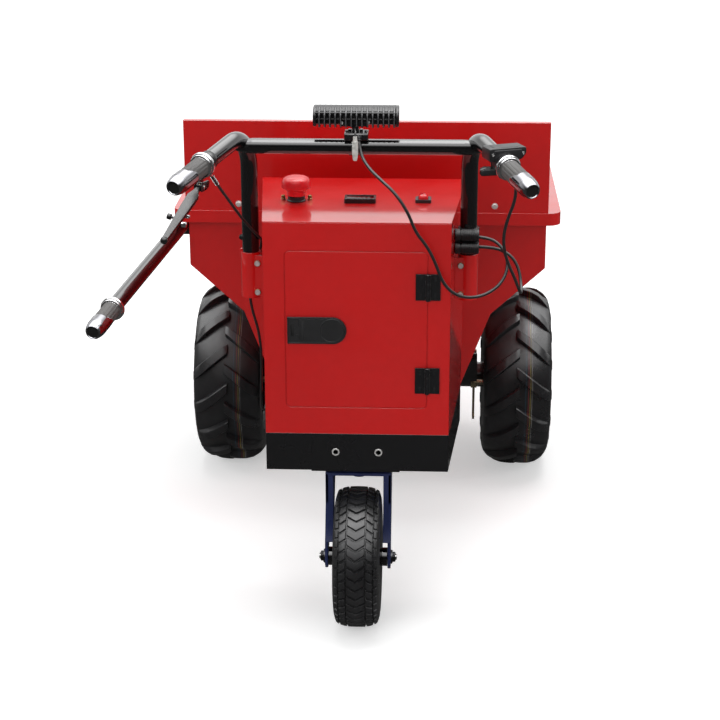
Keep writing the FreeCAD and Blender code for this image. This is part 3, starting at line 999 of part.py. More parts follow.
def dump_handle():
    """Long lever on the tub's left wall, with a grip like the others, for tipping the load."""
    end, bend = V(*DUMP_END), V(*DUMP_BEND)
    heading = (end - bend).normalize()
    shoulder = end - heading * (GRIP_LEN + 0.5)
    points = [(bend.x, DUMP_FRONT_Y, bend.z), tuple(bend), tuple(shoulder)]
    tube = bent_tube(points, DUMP_R, TUBE_WALL, 120)
    plug = rod(DUMP_R - TUBE_WALL, tuple(shoulder - heading * 16), tuple(shoulder))
    stub = rod(STUB_R, tuple(shoulder - heading * 2), tuple(end - heading * 8))
    wall_x = -TUB_SECTION[-1][0]
    saddles = []
    for y in (-340, -180):
        ring = rod(DUMP_R + 3.5, (bend.x, y - 12, bend.z), (bend.x, y + 12, bend.z))
        ring = ring.common(box(bend.x - 30, wall_x, y - 12, y + 12, bend.z - 30, bend.z + 16.5))
        foot = box(bend.x - 17.5, wall_x, y - 12, y + 12, bend.z - 32, bend.z - 12)
        saddles.append(ring.fuse(foot).cut(rod(DUMP_R - 0.5, (bend.x, y - 13, bend.z), (bend.x, y + 13, bend.z))))
    node("dump_handle_tube", fused([tube, plug, stub] + saddles))
    spot = local_frame(end - heading * GRIP_LEN, heading.cross(UZ), UZ - heading * UZ.dot(heading))
    node("dump_handle_grip", placed(grip_solid(), spot))


def build():
    base_frame()
    main_rails()
    axle()
    drive_wheels()
    caster()
    cabinet()
    handlebar()
    work_light()
    cables()
    tub()
    dump_handle()
    node("frame_fasteners", *FASTENERS)


def export():
    os.makedirs("parts", exist_ok=True)
    bounds = FreeCAD.BoundBox()
    for name, solids in NODES.items():
        if name not in CORD_NODES:
            for solid in solids:
                bounds.add(solid.optimalBoundingBox(False))
    shift = V(-(bounds.XMin + bounds.XMax) / 2, -(bounds.YMin + bounds.YMax) / 2, -bounds.ZMin)
    print("box", [round(v, 2) for v in (bounds.XMin, bounds.XMax, bounds.YMin, bounds.YMax, bounds.ZMin, bounds.ZMax)])
    print("shift", round(shift.x, 3), round(shift.y, 3), round(shift.z, 3), "nodes", len(NODES))
    for name, solids in NODES.items():
        bad = [i for i, s in enumerate(solids) if not s.isValid() or s.Volume <= 0]
        if bad or not solids:
            print("check", name, bad, len(solids))
        shape = Part.Compound(solids) if len(solids) > 1 else solids[0].copy()
        shape.translate(shift)
        shape.exportStep("parts/" + name + ".step")


build()
export()
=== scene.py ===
import math

import bmesh
import bpy
import numpy as np
from mathutils import Matrix, Vector


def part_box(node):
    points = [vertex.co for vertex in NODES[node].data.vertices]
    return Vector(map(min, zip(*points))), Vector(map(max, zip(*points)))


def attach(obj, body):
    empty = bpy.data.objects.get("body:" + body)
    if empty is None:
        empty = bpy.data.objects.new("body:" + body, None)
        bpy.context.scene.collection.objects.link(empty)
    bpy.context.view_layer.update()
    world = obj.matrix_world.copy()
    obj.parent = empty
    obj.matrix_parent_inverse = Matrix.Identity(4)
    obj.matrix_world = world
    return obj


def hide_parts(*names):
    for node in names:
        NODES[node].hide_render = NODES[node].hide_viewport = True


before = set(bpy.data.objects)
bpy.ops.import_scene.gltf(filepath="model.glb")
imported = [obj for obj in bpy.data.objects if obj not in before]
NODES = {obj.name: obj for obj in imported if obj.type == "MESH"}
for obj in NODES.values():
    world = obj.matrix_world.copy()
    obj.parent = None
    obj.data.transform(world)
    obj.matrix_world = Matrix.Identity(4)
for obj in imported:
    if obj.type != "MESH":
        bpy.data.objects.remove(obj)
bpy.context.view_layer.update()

# The machine's own datum is on the ground under the drive axle, on its centre plane; lengths there are in mm.
plate_low, plate_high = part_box("base_frame")
DATUM = Vector(((plate_low.x + plate_high.x) / 2, plate_low.y + 0.848, 0.0))
MM = 0.001


def put(name, data):
    """A new object in the scene for some data."""
    obj = bpy.data.objects.new(name, data)
    bpy.context.scene.collection.objects.link(obj)
    return obj


def at(x, y, z):
    """A point of the machine's datum, in mm, as a point of the frame, in metres."""
    return DATUM + Vector((x, y, z)) * MM


# ---------------------------------------------------------------- camera and stage
LOOK_FROM = (140.7, -3862.2, 1577.9)
LOOK_YAW, LOOK_PITCH, LOOK_ROLL = -2.567, -19.252, -0.084
FOCAL_PX = 1827.8
FLOOR_HALF = 30.0
FLOOR_GLOW = 0.42
WORLD_SOFT = 0.45
IMAGE_PX = 720


def add_camera():
    yaw, pitch, roll = map(math.radians, (LOOK_YAW, LOOK_PITCH, LOOK_ROLL))
    ahead = Vector((math.sin(yaw) * math.cos(pitch), math.cos(yaw) * math.cos(pitch), math.sin(pitch)))
    level = Vector((math.cos(yaw), -math.sin(yaw), 0))
    up = level.cross(ahead)
    right = level * math.cos(roll) + up * math.sin(roll)
    up = up * math.cos(roll) - level * math.sin(roll)
    data = bpy.data.cameras.new("camera")
    data.sensor_width = 36
    data.lens = FOCAL_PX / IMAGE_PX * 36
    data.clip_end = 100
    camera = put("camera", data)
    turn = Matrix((right, up, -ahead)).transposed().to_4x4()
    camera.matrix_world = Matrix.Translation(at(*LOOK_FROM)) @ turn
    bpy.context.scene.camera = camera


def add_light(name, size, place, aim, power, mirrored=True):
    data = bpy.data.lights.new(name, "AREA")
    data.shape = "RECTANGLE"
    data.size, data.size_y = size
    data.energy = power
    lamp = put(name, data)
    lamp.location = place
    lamp.visible_glossy = mirrored
    lamp.rotation_euler = (Vector(aim) - Vector(place)).to_track_quat("-Z", "Y").to_euler()


def add_stage():
    mesh = bpy.data.meshes.new("floor")
    side = FLOOR_HALF
    mesh.from_pydata([(-side, -side, -0.0005), (side, -side, -0.0005), (side, side, -0.0005), (-side, side, -0.0005)],
            [], [(0, 1, 2, 3)])
    floor = put("floor", mesh)
    mat = bpy.data.materials.new("floor")
    mat.use_nodes = True
    tree = mat.node_tree
    tree.nodes.clear()
    out = tree.nodes.new("ShaderNodeOutputMaterial")
    path = tree.nodes.new("ShaderNodeLightPath")

    def shader_node(kind, **values):
        node = tree.nodes.new(kind)
        for key, value in values.items():
            node.inputs[key].default_value = value
        return node

    def pick(factor, first, second):
        node = tree.nodes.new("ShaderNodeMixShader")
        tree.links.new(factor, node.inputs[0])
        tree.links.new(first.outputs[0], node.inputs[1])
        tree.links.new(second.outputs[0], node.inputs[2])
        return node

    # White sweep for the eye with its soft shadow; in reflections the floor is the dark, unlit room in front of it.
    diffuse = shader_node("ShaderNodeBsdfDiffuse", Color=(0.86, 0.86, 0.86, 1))
    glow = shader_node("ShaderNodeEmission")
    away = tree.nodes.new("ShaderNodeVectorMath")
    away.operation = "LENGTH"
    tree.links.new(tree.nodes.new("ShaderNodeTexCoord").outputs["Object"], away.inputs[0])
    fade = ramp(tree, maths(tree, "MULTIPLY", away.outputs["Value"], 0.1), [(0.05, FLOOR_GLOW), (0.16, 0.62),
            (0.5, 0.95)])
    tree.links.new(fade, glow.inputs["Strength"])
    white = tree.nodes.new("ShaderNodeAddShader")
    tree.links.new(diffuse.outputs[0], white.inputs[0])
    tree.links.new(glow.outputs[0], white.inputs[1])
    seen = pick(path.outputs["Is Camera Ray"], diffuse, white)
    dark = shader_node("ShaderNodeEmission", Color=(1, 0.98, 0.96, 1), Strength=0.07)
    total = pick(path.outputs["Is Glossy Ray"], seen, dark)
    tree.links.new(total.outputs[0], out.inputs[0])
    mesh.materials.append(mat)

    world = bpy.data.worlds.new("studio")
    bpy.context.scene.world = world
    world.use_nodes = True
    tree = world.node_tree
    tree.nodes.clear()
    out = tree.nodes.new("ShaderNodeOutputWorld")
    path = tree.nodes.new("ShaderNodeLightPath")
    soft = shader_node("ShaderNodeBackground", Color=(1, 1, 1, 1), Strength=WORLD_SOFT)
    bright = shader_node("ShaderNodeBackground", Color=(1, 1, 1, 1), Strength=1.0)
    room = shader_node("ShaderNodeBackground", Strength=4.0)
    # The room as the paint mirrors it: a white cove beyond the machine, soft boxes above, dark behind the photographer.
    coords = tree.nodes.new("ShaderNodeTexCoord").outputs["Generated"]
    split = tree.nodes.new("ShaderNodeSeparateXYZ")
    tree.links.new(coords, split.inputs[0])
    ahead = ramp(tree, maths(tree, "MULTIPLY_ADD", split.outputs["Y"], 0.5, 0.5), [(0.0, 0.006), (0.30, 0.010),
            (0.52, 0.07), (0.72, 0.25), (1.0, 0.28)])
    above = ramp(tree, maths(tree, "MULTIPLY_ADD", split.outputs["Z"], 0.5, 0.5), [(0.0, 0.0), (0.64, 0.0),
            (0.74, 0.12), (0.84, 0.95), (1.0, 1.0)])
    total = mix(tree, "LIGHTEN", 1.0, ahead, above)
    tree.links.new(total, room.inputs["Color"])
    lit = pick(path.outputs["Is Camera Ray"], soft, bright)
    lit = pick(path.outputs["Is Glossy Ray"], lit, room)
    lit = pick(path.outputs["Is Transmission Ray"], lit, bright)
    tree.links.new(lit.outputs[0], out.inputs[0])

    scene = bpy.context.scene
    scene.view_settings.view_transform = "Standard"
    add_light("key_overhead", (2.6, 1.6), (0.3, -0.2, 3.4), (0, 0.2, 0.4), 62)
    add_light("fill_behind", (2.4, 1.6), (-1.2, -4.2, 2.4), (0, 0, 0.5), 40, False)
    add_light("side_left", (0.7, 2.4), (-3.2, 0.2, 1.6), (0, 0, 0.4), 26, False)
    add_light("side_right", (0.7, 2.4), (3.4, -0.6, 1.6), (0, 0, 0.4), 26, False)


# ---------------------------------------------------------------- materials
def new_material(name):
    mat = bpy.data.materials.new(name)
    mat.use_nodes = True
    tree = mat.node_tree
    shader = tree.nodes["Principled BSDF"]
    return mat, tree, shader


def noise(tree, scale, detail=4.0, roughness=0.5, distortion=0.0, coords=None):
    node = tree.nodes.new("ShaderNodeTexNoise")
    node.inputs["Scale"].default_value = scale
    node.inputs["Detail"].default_value = detail
    node.inputs["Roughness"].default_value = roughness
    node.inputs["Distortion"].default_value = distortion
    if coords is None:
        coords = tree.nodes.new("ShaderNodeTexCoord").outputs["Object"]
    tree.links.new(coords, node.inputs["Vector"])
    return node.outputs["Fac"]


def ramp(tree, value, stops):
    node = tree.nodes.new("ShaderNodeValToRGB")
    tree.links.new(value, node.inputs["Fac"])
    elements = node.color_ramp.elements
    while len(elements) < len(stops):
        elements.new(0.5)
    for element, (place, colour) in zip(elements, stops):
        element.position = place
        if not hasattr(colour, "__len__"):
            colour = (colour, colour, colour)
        element.color = (*colour, 1)
    return node.outputs["Color"]


def mix(tree, kind, factor, first, second):
    node = tree.nodes.new("ShaderNodeMix")
    node.data_type = "RGBA"
    node.blend_type = kind
    for index, value in ((0, factor), (6, first), (7, second)):
        if isinstance(value, bpy.types.NodeSocket):
            tree.links.new(value, node.inputs[index])
        elif index == 0:
            node.inputs[0].default_value = value
        else:
            node.inputs[index].default_value = (*value, 1)
    return node.outputs[2]


def maths(tree, kind, first, second=0.0, third=0.0):
    node = tree.nodes.new("ShaderNodeMath")
    node.operation = kind
    for socket, value in zip(node.inputs, (first, second, third)):
        if isinstance(value, bpy.types.NodeSocket):
            tree.links.new(value, socket)
        else:
            socket.default_value = value
    return node.outputs[0]


def shade(col, factor):
    return tuple(c * factor for c in col)


def bumped(tree, shader, height, strength, distance, edge=0.0):
    """Bump from a height, on top of softly rounded edges."""
    bump = tree.nodes.new("ShaderNodeBump")
    bump.inputs["Strength"].default_value = strength
    bump.inputs["Distance"].default_value = distance
    tree.links.new(height, bump.inputs["Height"])
    if edge:
        bevel = tree.nodes.new("ShaderNodeBevel")
        bevel.samples = 4
        bevel.inputs["Radius"].default_value = edge
        tree.links.new(bevel.outputs["Normal"], bump.inputs["Normal"])
    tree.links.new(bump.outputs["Normal"], shader.inputs["Normal"])
    return bump


def paint(name, colour, rough=0.32, coat_rough=0.04, edge=0.0012, metallic=0.0, peel=0.06, wear=0.0, coat=1.0):
    """Sprayed gloss paint: slight tone drift, orange peel under a clear coat, and scattered scuff marks where asked."""
    mat, tree, shader = new_material(name)
    drift = noise(tree, 2.3, 2)
    fine = noise(tree, 60, 3)
    base = ramp(tree, drift, [(0.3, shade(colour, 0.93)), (0.7, shade(colour, 1.05))])
    speck = ramp(tree, fine, [(0.35, 0.96), (0.65, 1.0)])
    base = mix(tree, "MULTIPLY", 1.0, base, speck)
    if wear:
        scuff = noise(tree, 38, 6, 0.7, 0.4)
        marks = ramp(tree, scuff, [(0.70, 0.0), (0.76, wear)])
        base = mix(tree, "MIX", marks, base, (0.16, 0.15, 0.14))
    tree.links.new(base, shader.inputs["Base Color"])
    gloss = ramp(tree, noise(tree, 14, 4), [(0.3, rough * 0.85), (0.7, rough * 1.15)])
    tree.links.new(gloss, shader.inputs["Roughness"])
    shader.inputs["Metallic"].default_value = metallic
    shader.inputs["Specular IOR Level"].default_value = 0.25
    shader.inputs["Coat Weight"].default_value = coat
    shader.inputs["Coat Roughness"].default_value = coat_rough
    shader.inputs["Coat IOR"].default_value = 1.55
    bump = bumped(tree, shader, noise(tree, 420, 2), peel, 0.0004, edge)
    if edge:
        tree.links.new(bump.outputs["Normal"], shader.inputs["Coat Normal"])
    return mat


def plastic(name, colour, rough=0.45, grain=900, strength=0.25, edge=0.0008):
    """Moulded plastic with a fine spark texture."""
    mat, tree, shader = new_material(name)
    base = ramp(tree, noise(tree, 9, 3), [(0.3, shade(colour, 0.85)), (0.7, shade(colour, 1.15))])
    tree.links.new(base, shader.inputs["Base Color"])
    gloss = ramp(tree, noise(tree, 45, 4), [(0.3, rough * 0.85), (0.7, rough * 1.15)])
    tree.links.new(gloss, shader.inputs["Roughness"])
    bumped(tree, shader, noise(tree, grain, 3), strength, 0.0003, edge)
    return mat


def metal(name, colour, rough=0.3, scale=260, strength=0.12, stain=None, edge=0.0006):
    """Plated or turned metal with faint tarnish."""
    mat, tree, shader = new_material(name)
    tone = ramp(tree, noise(tree, 26, 5, 0.6), [(0.3, shade(colour, 0.8)), (0.7, colour)])
    if stain:
        tone = mix(tree, "MIX", ramp(tree, noise(tree, 55, 5, 0.65), [(0.45, 0.0), (0.62, 0.75)]), tone, stain)
    tree.links.new(tone, shader.inputs["Base Color"])
    shader.inputs["Metallic"].default_value = 1.0
    gloss = ramp(tree, noise(tree, 70, 4), [(0.3, rough * 0.75), (0.7, rough * 1.35)])
    tree.links.new(gloss, shader.inputs["Roughness"])
    bumped(tree, shader, noise(tree, scale, 4), strength, 0.0003, edge)
    return mat


def plated(name, colour):
    """Dull light plating, as on small screw heads."""
    mat, tree, shader = new_material(name)
    tree.links.new(ramp(tree, noise(tree, 40, 4), [(0.3, shade(colour, 0.85)), (0.7, colour)]),
            shader.inputs["Base Color"])
    shader.inputs["Metallic"].default_value = 0.45
    tree.links.new(ramp(tree, noise(tree, 90, 3), [(0.3, 0.26), (0.7, 0.42)]), shader.inputs["Roughness"])
    bumped(tree, shader, noise(tree, 300, 3), 0.1, 0.0002)
    return mat


def rubber(name, colour, rough=0.5, grain=260, strength=0.3, stripes=(), edge=0.0):
    """Tyre rubber: uneven release sheen, fine grain, and thin coloured lines round the tread where asked."""
    mat, tree, shader = new_material(name)
    coords = tree.nodes.new("ShaderNodeTexCoord").outputs["Object"]
    base = ramp(tree, noise(tree, 16, 5, 0.6), [(0.3, shade(colour, 0.7)), (0.7, shade(colour, 1.35))])
    if stripes:
        split = tree.nodes.new("ShaderNodeSeparateXYZ")
        tree.links.new(coords, split.inputs[0])
        wobble = maths(tree, "MULTIPLY", maths(tree, "SUBTRACT", noise(tree, 7, 2), 0.5), 0.0012)
        across = maths(tree, "ADD", split.outputs["X"], wobble)
        for place, width, tint in stripes:
            off = maths(tree, "ABSOLUTE", maths(tree, "SUBTRACT", across, place))
            inside = maths(tree, "LESS_THAN", off, width)
            faded = maths(tree, "MULTIPLY", inside, ramp(tree, noise(tree, 30, 4), [(0.35, 0.25), (0.65, 0.8)]))
            base = mix(tree, "MIX", faded, base, tint)
    tree.links.new(base, shader.inputs["Base Color"])
    gloss = ramp(tree, noise(tree, 11, 4, 0.6), [(0.3, rough * 0.65), (0.7, rough * 1.3)])
    tree.links.new(gloss, shader.inputs["Roughness"])
    shader.inputs["Specular IOR Level"].default_value = 0.55
    bumped(tree, shader, noise(tree, grain, 4), strength, 0.0006, edge)
    return mat


add_camera()
add_stage()

RED = (0.55, 0.0045, 0.0045)
MAT = {
    "red": paint("red_gloss", RED, rough=0.34, wear=0.0),
    "red_tub": paint("red_gloss_tub", RED, rough=0.36),
    "black": paint("black_gloss", (0.004, 0.004, 0.0045), rough=0.2, coat_rough=0.03, edge=0.0010),
    "black_frame": paint("black_frame_paint", (0.007, 0.007, 0.008), rough=0.3, coat_rough=0.06, wear=0.35, peel=0.12),
    "blue": paint("blue_fork_paint", (0.020, 0.030, 0.105), rough=0.3, coat_rough=0.06),
    "cast": metal("cast_housing", (0.06, 0.06, 0.065), rough=0.5, scale=120, strength=0.5),
    "zinc": metal("yellow_zinc", (0.62, 0.52, 0.33), rough=0.28, stain=(0.45, 0.36, 0.30)),
    "steel": metal("bright_steel", (0.62, 0.62, 0.61), rough=0.25),
    "chrome": metal("chrome", (0.78, 0.78, 0.79), rough=0.06, strength=0.03, scale=40),
    "plastic": plastic("black_plastic", (0.012, 0.012, 0.013)),
    "plastic_gloss": plastic("black_gloss_plastic", (0.010, 0.010, 0.011), rough=0.22, strength=0.08),
    "latch": plastic("latch_plastic", (0.016, 0.016, 0.017), rough=0.5, grain=700, strength=0.4),
    "red_plastic": plastic("red_plastic", (0.62, 0.012, 0.018), rough=0.24, strength=0.05),
    "grip": plastic("grip_rubber", (0.075, 0.072, 0.070), rough=0.6, grain=500, strength=0.6, edge=0),
    "cable": plastic("cable_sheath", (0.016, 0.016, 0.016), rough=0.38, grain=300, strength=0.15, edge=0),
    "tyre": rubber("caster_rubber", (0.015, 0.015, 0.016), rough=0.38),
    "lever": plastic("lever_grey", (0.009, 0.009, 0.009), rough=0.25, strength=0.15),
    "light_body": plastic("light_casting", (0.010, 0.010, 0.011), rough=0.3, grain=420, strength=0.35),
    "dark_steel": metal("dark_steel", (0.10, 0.10, 0.105), rough=0.32),
    "plated": plated("plated_steel", (0.72, 0.71, 0.69)),
    "smoke": metal("smoked_chrome", (0.34, 0.34, 0.36), rough=0.10, strength=0.05, scale=60),
    "brass": metal("dark_brass", (0.42, 0.30, 0.13), rough=0.3),
    # painted_shade_recess: near-black put at the bottoms of holes and in slots as painted shade.
    "dark": plastic("painted_shade_recess", (0.004, 0.004, 0.004), rough=0.7, edge=0),
    # fin_painted_highlight: a grey much lighter than the light's casting, put on the fins' outer edges as painted
    # highlight.
    "fin_painted_highlight": plastic("fin_painted_highlight", (0.10, 0.10, 0.105), rough=0.3, strength=0.1, edge=0),
    "white": plastic("white_cap", (0.75, 0.75, 0.74), rough=0.3, strength=0.1, edge=0),
    "amber": plastic("lamp_chip", (0.80, 0.62, 0.18), rough=0.3, strength=0.1, edge=0),
    "screen": plastic("gauge_screen", (0.060, 0.004, 0.005), rough=0.08, strength=0.02, edge=0),
    "battery": plastic("battery_case", (0.02, 0.02, 0.022), rough=0.4),
}

glass, tree, shader = new_material("lens_glass")
shader.inputs["Base Color"].default_value = (0.9, 0.93, 0.95, 1)
shader.inputs["Roughness"].default_value = 0.08
shader.inputs["Transmission Weight"].default_value = 0.85
bumped(tree, shader, noise(tree, 150, 2), 0.15, 0.0005)
MAT["glass"] = glass
clear, tree, shader = new_material("clear_plug_plastic")
tree.links.new(ramp(tree, noise(tree, 120, 3), [(0.35, (0.55, 0.54, 0.50)), (0.65, (0.86, 0.85, 0.82))]),
        shader.inputs["Base Color"])
shader.inputs["Roughness"].default_value = 0.22
shader.inputs["Transmission Weight"].default_value = 0.35
bumped(tree, shader, noise(tree, 260, 3), 0.2, 0.0005, 0.0006)
MAT["clear"] = clear

# The CAD pieces that show as they are, by material; the others are replaced by detailed ones below.
NODES_OF = {
    "black_frame": "base_frame main_rails axle_housing",
    "steel": "tub_pivot_pin",
    "cast": "drive_motor motor_controller left_hub_drum right_hub_drum",
    "blue": "caster_top_plate",
    "zinc": "frame_fasteners brake_arm_left brake_arm_right",
    "red": "cabinet_shell cabinet_face_frame handle_sockets cabinet_door",
    "plastic_gloss": "hinge_frame_leaves charge_gauge hinge_door_leaves",
    "battery": "batteries",
    "plastic": "e_stop_base switch_base",
    "black": "handle_tube_left handle_tube_right crossbar left_rim right_rim caster_rim dump_handle_tube",
    "cable": "brake_cable",
    "latch": "latch_body latch_paddle",
    "lever": "brake_lever",
    "glass": "work_light_lens",
    "red_tub": "tub_floor tub_rear_wall tub_front_wall tub_side_left tub_side_right tub_rim splash_panel",
}
for key, names in NODES_OF.items():
    for name in names.split():
        slots = NODES[name].data.materials
        slots.clear()
        slots.append(MAT[key])


# ---------------------------------------------------------------- geometry helpers
def piece(name, mesh, key, body, replaced=()):
    """Puts a finished mesh in the scene as a piece that rides on a body."""
    obj = put(name, mesh)
    if not mesh.materials:
        mesh.materials.append(MAT[key] if isinstance(key, str) else key)
    mesh.shade_smooth()
    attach(obj, body)
    if replaced:
        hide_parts(*replaced)
    return obj


def grid_mesh(name, rows, wrap_rows=False, wrap_cols=True):
    """A mesh from an array of points, rows by columns, each way closed or open."""
    rows = np.asarray(rows, float)
    n, m = rows.shape[:2]
    faces = []
    for i in range(n if wrap_rows else n - 1):
        for j in range(m if wrap_cols else m - 1):
            k, l = (i + 1) % n, (j + 1) % m
            faces.append((i * m + j, i * m + l, k * m + l, k * m + j))
    mesh = bpy.data.meshes.new(name)
    mesh.from_pydata(rows.reshape(-1, 3).tolist(), [], faces)
    return mesh


def basis(axis):
    axis = Vector(axis).normalized()
    side = Vector((0, 0, 1)) if abs(axis.z) < 0.9 else Vector((1, 0, 0))
    side = (side - axis * side.dot(axis)).normalized()
    return axis, side, axis.cross(side)


def lathe(name, outline, centre, axis, steps=64):
    """Turns (radius, along) points in mm about an axis through a centre given in the machine's datum."""
    axis, side, other = basis(axis)
    middle = at(*centre)
    rows = []
    for i in range(steps):
        a = 2 * math.pi * i / steps
        spoke = side * math.cos(a) + other * math.sin(a)
        rows.append([tuple(middle + spoke * (r * MM) + axis * (along * MM)) for r, along in outline])
    return grid_mesh(name, rows, wrap_rows=True, wrap_cols=False)


def finish_bmesh(bm, name):
    bmesh.ops.recalc_face_normals(bm, faces=bm.faces)
    mesh = bpy.data.meshes.new(name)
    bm.to_mesh(mesh)
    bm.free()
    return mesh


def smooth_by_angle(obj, degrees=35):
    for edge in obj.data.edges:
        edge.use_edge_sharp = False
    bm = bmesh.new()
    bm.from_mesh(obj.data)
    limit = math.radians(degrees)
    for edge in bm.edges:
        edge.smooth = len(edge.link_faces) == 2 and edge.calc_face_angle(0) < limit
    bm.to_mesh(obj.data)
    bm.free()


# ---------------------------------------------------------------- cords
LIGHT_ROUTE = [(2, -799, 902), (5, -809, 884), (17, -829, 866), (38, -850, 850), (67, -867, 828), (88, -873, 797),
        (101, -871, 762), (121, -869, 737), (136, -867, 706), (147, -866, 674), (167, -861, 650), (196, -847, 639),
        (226, -828, 641), (251, -810, 656), (262, -795, 681), (256, -783, 706), (238, -774, 723), (214, -772, 728),
        (192, -772, 728.4), (169.2, -772, 728)]
THROTTLE_ROUTE = [(266, -889, 866), (268, -889, 844), (266, -884, 820), (257, -872, 791), (250, -862, 760),
        (251, -857, 731), (259, -853, 704), (270, -850, 680), (280, -840, 652), (285, -817, 639), (285, -793, 650),
        (281, -782, 674), (268, -776, 696), (244, -773, 708), (216, -772, 710.3), (192, -772, 709.6),
        (169.2, -772, 710)]
CABLE_D = 5.5


def route_curve(name, route, diameter):
    curve = bpy.data.curves.new(name, "CURVE")
    curve.dimensions = "3D"
    spline = curve.splines.new("NURBS")
    spline.points.add(len(route) - 1)
    for point, place in zip(spline.points, route):
        point.co = (*at(*place), 1)
    spline.order_u = 3
    spline.use_endpoint_u = True
    spline.resolution_u = 10
    curve.bevel_depth = diameter / 2 * MM
    curve.bevel_resolution = 5
    curve.use_fill_caps = True
    obj = put(name, curve)
    curve.materials.append(MAT["cable"])
    return obj


def start_of(route):
    """A route's first point and the way back from it, in line with its first run."""
    start = Vector(route[0])
    return start, (start - Vector(route[1])).normalized()


def cable(name, route, node, body):
    obj = route_curve(name, route, CABLE_D)
    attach(obj, body)
    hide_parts(node)
    return obj


light_cord = cable("light_cord", LIGHT_ROUTE, "light_cable", "chassis")
throttle_cord = cable("throttle_cord", THROTTLE_ROUTE, "throttle_cable", "chassis")


# ---------------------------------------------------------------- drive tyres
AXLE_Z = 198.0
DRIVE_X = 314.0
LUGS = 14
CROWN_R = 185.0
LUG_TOP = ((0, 10.5, 30, 45, 59, 69, 73.9, 75), (198, 198, 197, 193, 184, 172, 158, 146))
SIDE_SECTION = ((102.2, 62), (106, 64), (110, 64.5), (115, 66.5), (118, 66.2), (121, 67.8), (128, 70), (136, 72),
        (144, 73), (152, 73.2), (158, 72.6), (163, 71.4), (167, 69.8), (170, 68.2))


def carcass_radius(across):
    """Radius of the drive tyre's carcass at a distance from its middle plane, in mm."""
    return CROWN_R - 14 * (min(abs(across), 68) / 68) ** 2.6


def drive_carcass_outline():
    """Section of the tyre, from the left bead over the tread to the right bead, as (radius, across)."""
    tread = [(carcass_radius(a), a) for a in (66, 60, 52, 44, 36, 26, 16, 8, 0)]
    half = list(SIDE_SECTION) + tread
    return [(r, -a) for r, a in half] + [(r, a) for r, a in reversed(half[:-1])]


def lug_rows(side):
    """Stations of one lug, from the middle of the tread to the shoulder: (across, sweep, top radius, half width)."""
    rows = []
    for k in range(17):
        t = k / 16
        across = -3 + 77.5 * t
        sweep = 26 - 0.741 * (across + 3) - 3 * t * t
        top = float(np.interp(abs(across), *LUG_TOP)) - 0.35
        rows.append((across * side, sweep, top, 10.6 + 2.0 * t))
    return rows


def add_lug(bm, x_mid, side, start):
    rings = []
    stations = lug_rows(side)
    for k, (across, sweep, top, half) in enumerate(stations):
        a = abs(across)
        floor = carcass_radius(across) - 3 if a < 66 else float(np.interp(a, (66, 69, 75), (168, 158, 138)))
        chamfer = min(1.6, (top - floor) / 3)
        section = [(-half - 3.2, floor), (-half - 0.4, top - chamfer), (-half + 1.4, top), (0, top + 0.2),
                (half - 1.4, top), (half + 0.4, top - chamfer), (half + 3.2, floor)]
        if k in (0, len(stations) - 1):
            section = [(s * 0.92, r - (1.4 if r > floor + 1 else 0)) for s, r in section]
        ring = []
        for offset, radius in section:
            angle = start + (sweep + offset) / 190.0
            ring.append(bm.verts.new(at(x_mid + across, math.sin(angle) * radius, AXLE_Z + math.cos(angle) * radius)))
        rings.append(ring)
    for a, b in zip(rings, rings[1:]):
        for i in range(len(a) - 1):
            bm.faces.new((a[i], a[i + 1], b[i + 1], b[i]))
    bm.faces.new(rings[0])
    bm.faces.new(rings[-1])


def drive_tyre(body, node, x_mid, phase):
    bm = bmesh.new()
    carcass = lathe("carcass", drive_carcass_outline(), (x_mid, 0, AXLE_Z), (1, 0, 0), 144)
    bm.from_mesh(carcass)
    bpy.data.meshes.remove(carcass)
    for i in range(LUGS):
        for side in (1, -1):
            add_lug(bm, x_mid, side, 2 * math.pi * (i + phase + (0 if side > 0 else 0.5)) / LUGS)
    mesh = finish_bmesh(bm, node + "_mesh")
    lines = ((22.5, 0.55, (0.30, 0.02, 0.015)), (26.5, 0.5, (0.42, 0.33, 0.05)), (30.2, 0.5, (0.30, 0.30, 0.29)),
            (16.5, 0.45, (0.03, 0.10, 0.16)))
    middle = at(x_mid, 0, 0).x
    stripes = [(middle + a * MM, w * MM, tint) for a, w, tint in lines]
    mat = rubber(node + "_rubber", (0.013, 0.013, 0.014), rough=0.36, stripes=stripes, grain=180)
    obj = piece(node + "_tread", mesh, mat, body, replaced=(node,))
    smooth_by_angle(obj, 28)
    return obj


drive_tyre("left_wheel", "left_tyre", -DRIVE_X, 0.0)
drive_tyre("right_wheel", "right_tyre", DRIVE_X, 0.0)


# ---------------------------------------------------------------- caster tyre
CASTER_Y, CASTER_Z = -813.0, 130.0
CASTER_R = 130.0
CASTER_ROWS = 44


def caster_profile():
    """Outside of the caster tyre as (radius, across), dense over the tread."""
    side = [(51.6, 28), (56, 31.5), (60, 32.5), (66, 36.5), (74, 39.8), (84, 41.8), (93, 42.4), (101, 42.2),
            (108, 41.4), (113, 40.2), (117, 38.8), (120, 37.6)]
    tread = [(CASTER_R - 1.5 - (abs(a) / 37.0) ** 3.2 * 7.5, a) for a in np.linspace(36.8, 0, 62)]
    half = side + tread
    return [(r, -a) for r, a in half] + [(r, a) for r, a in reversed(half[:-1])]


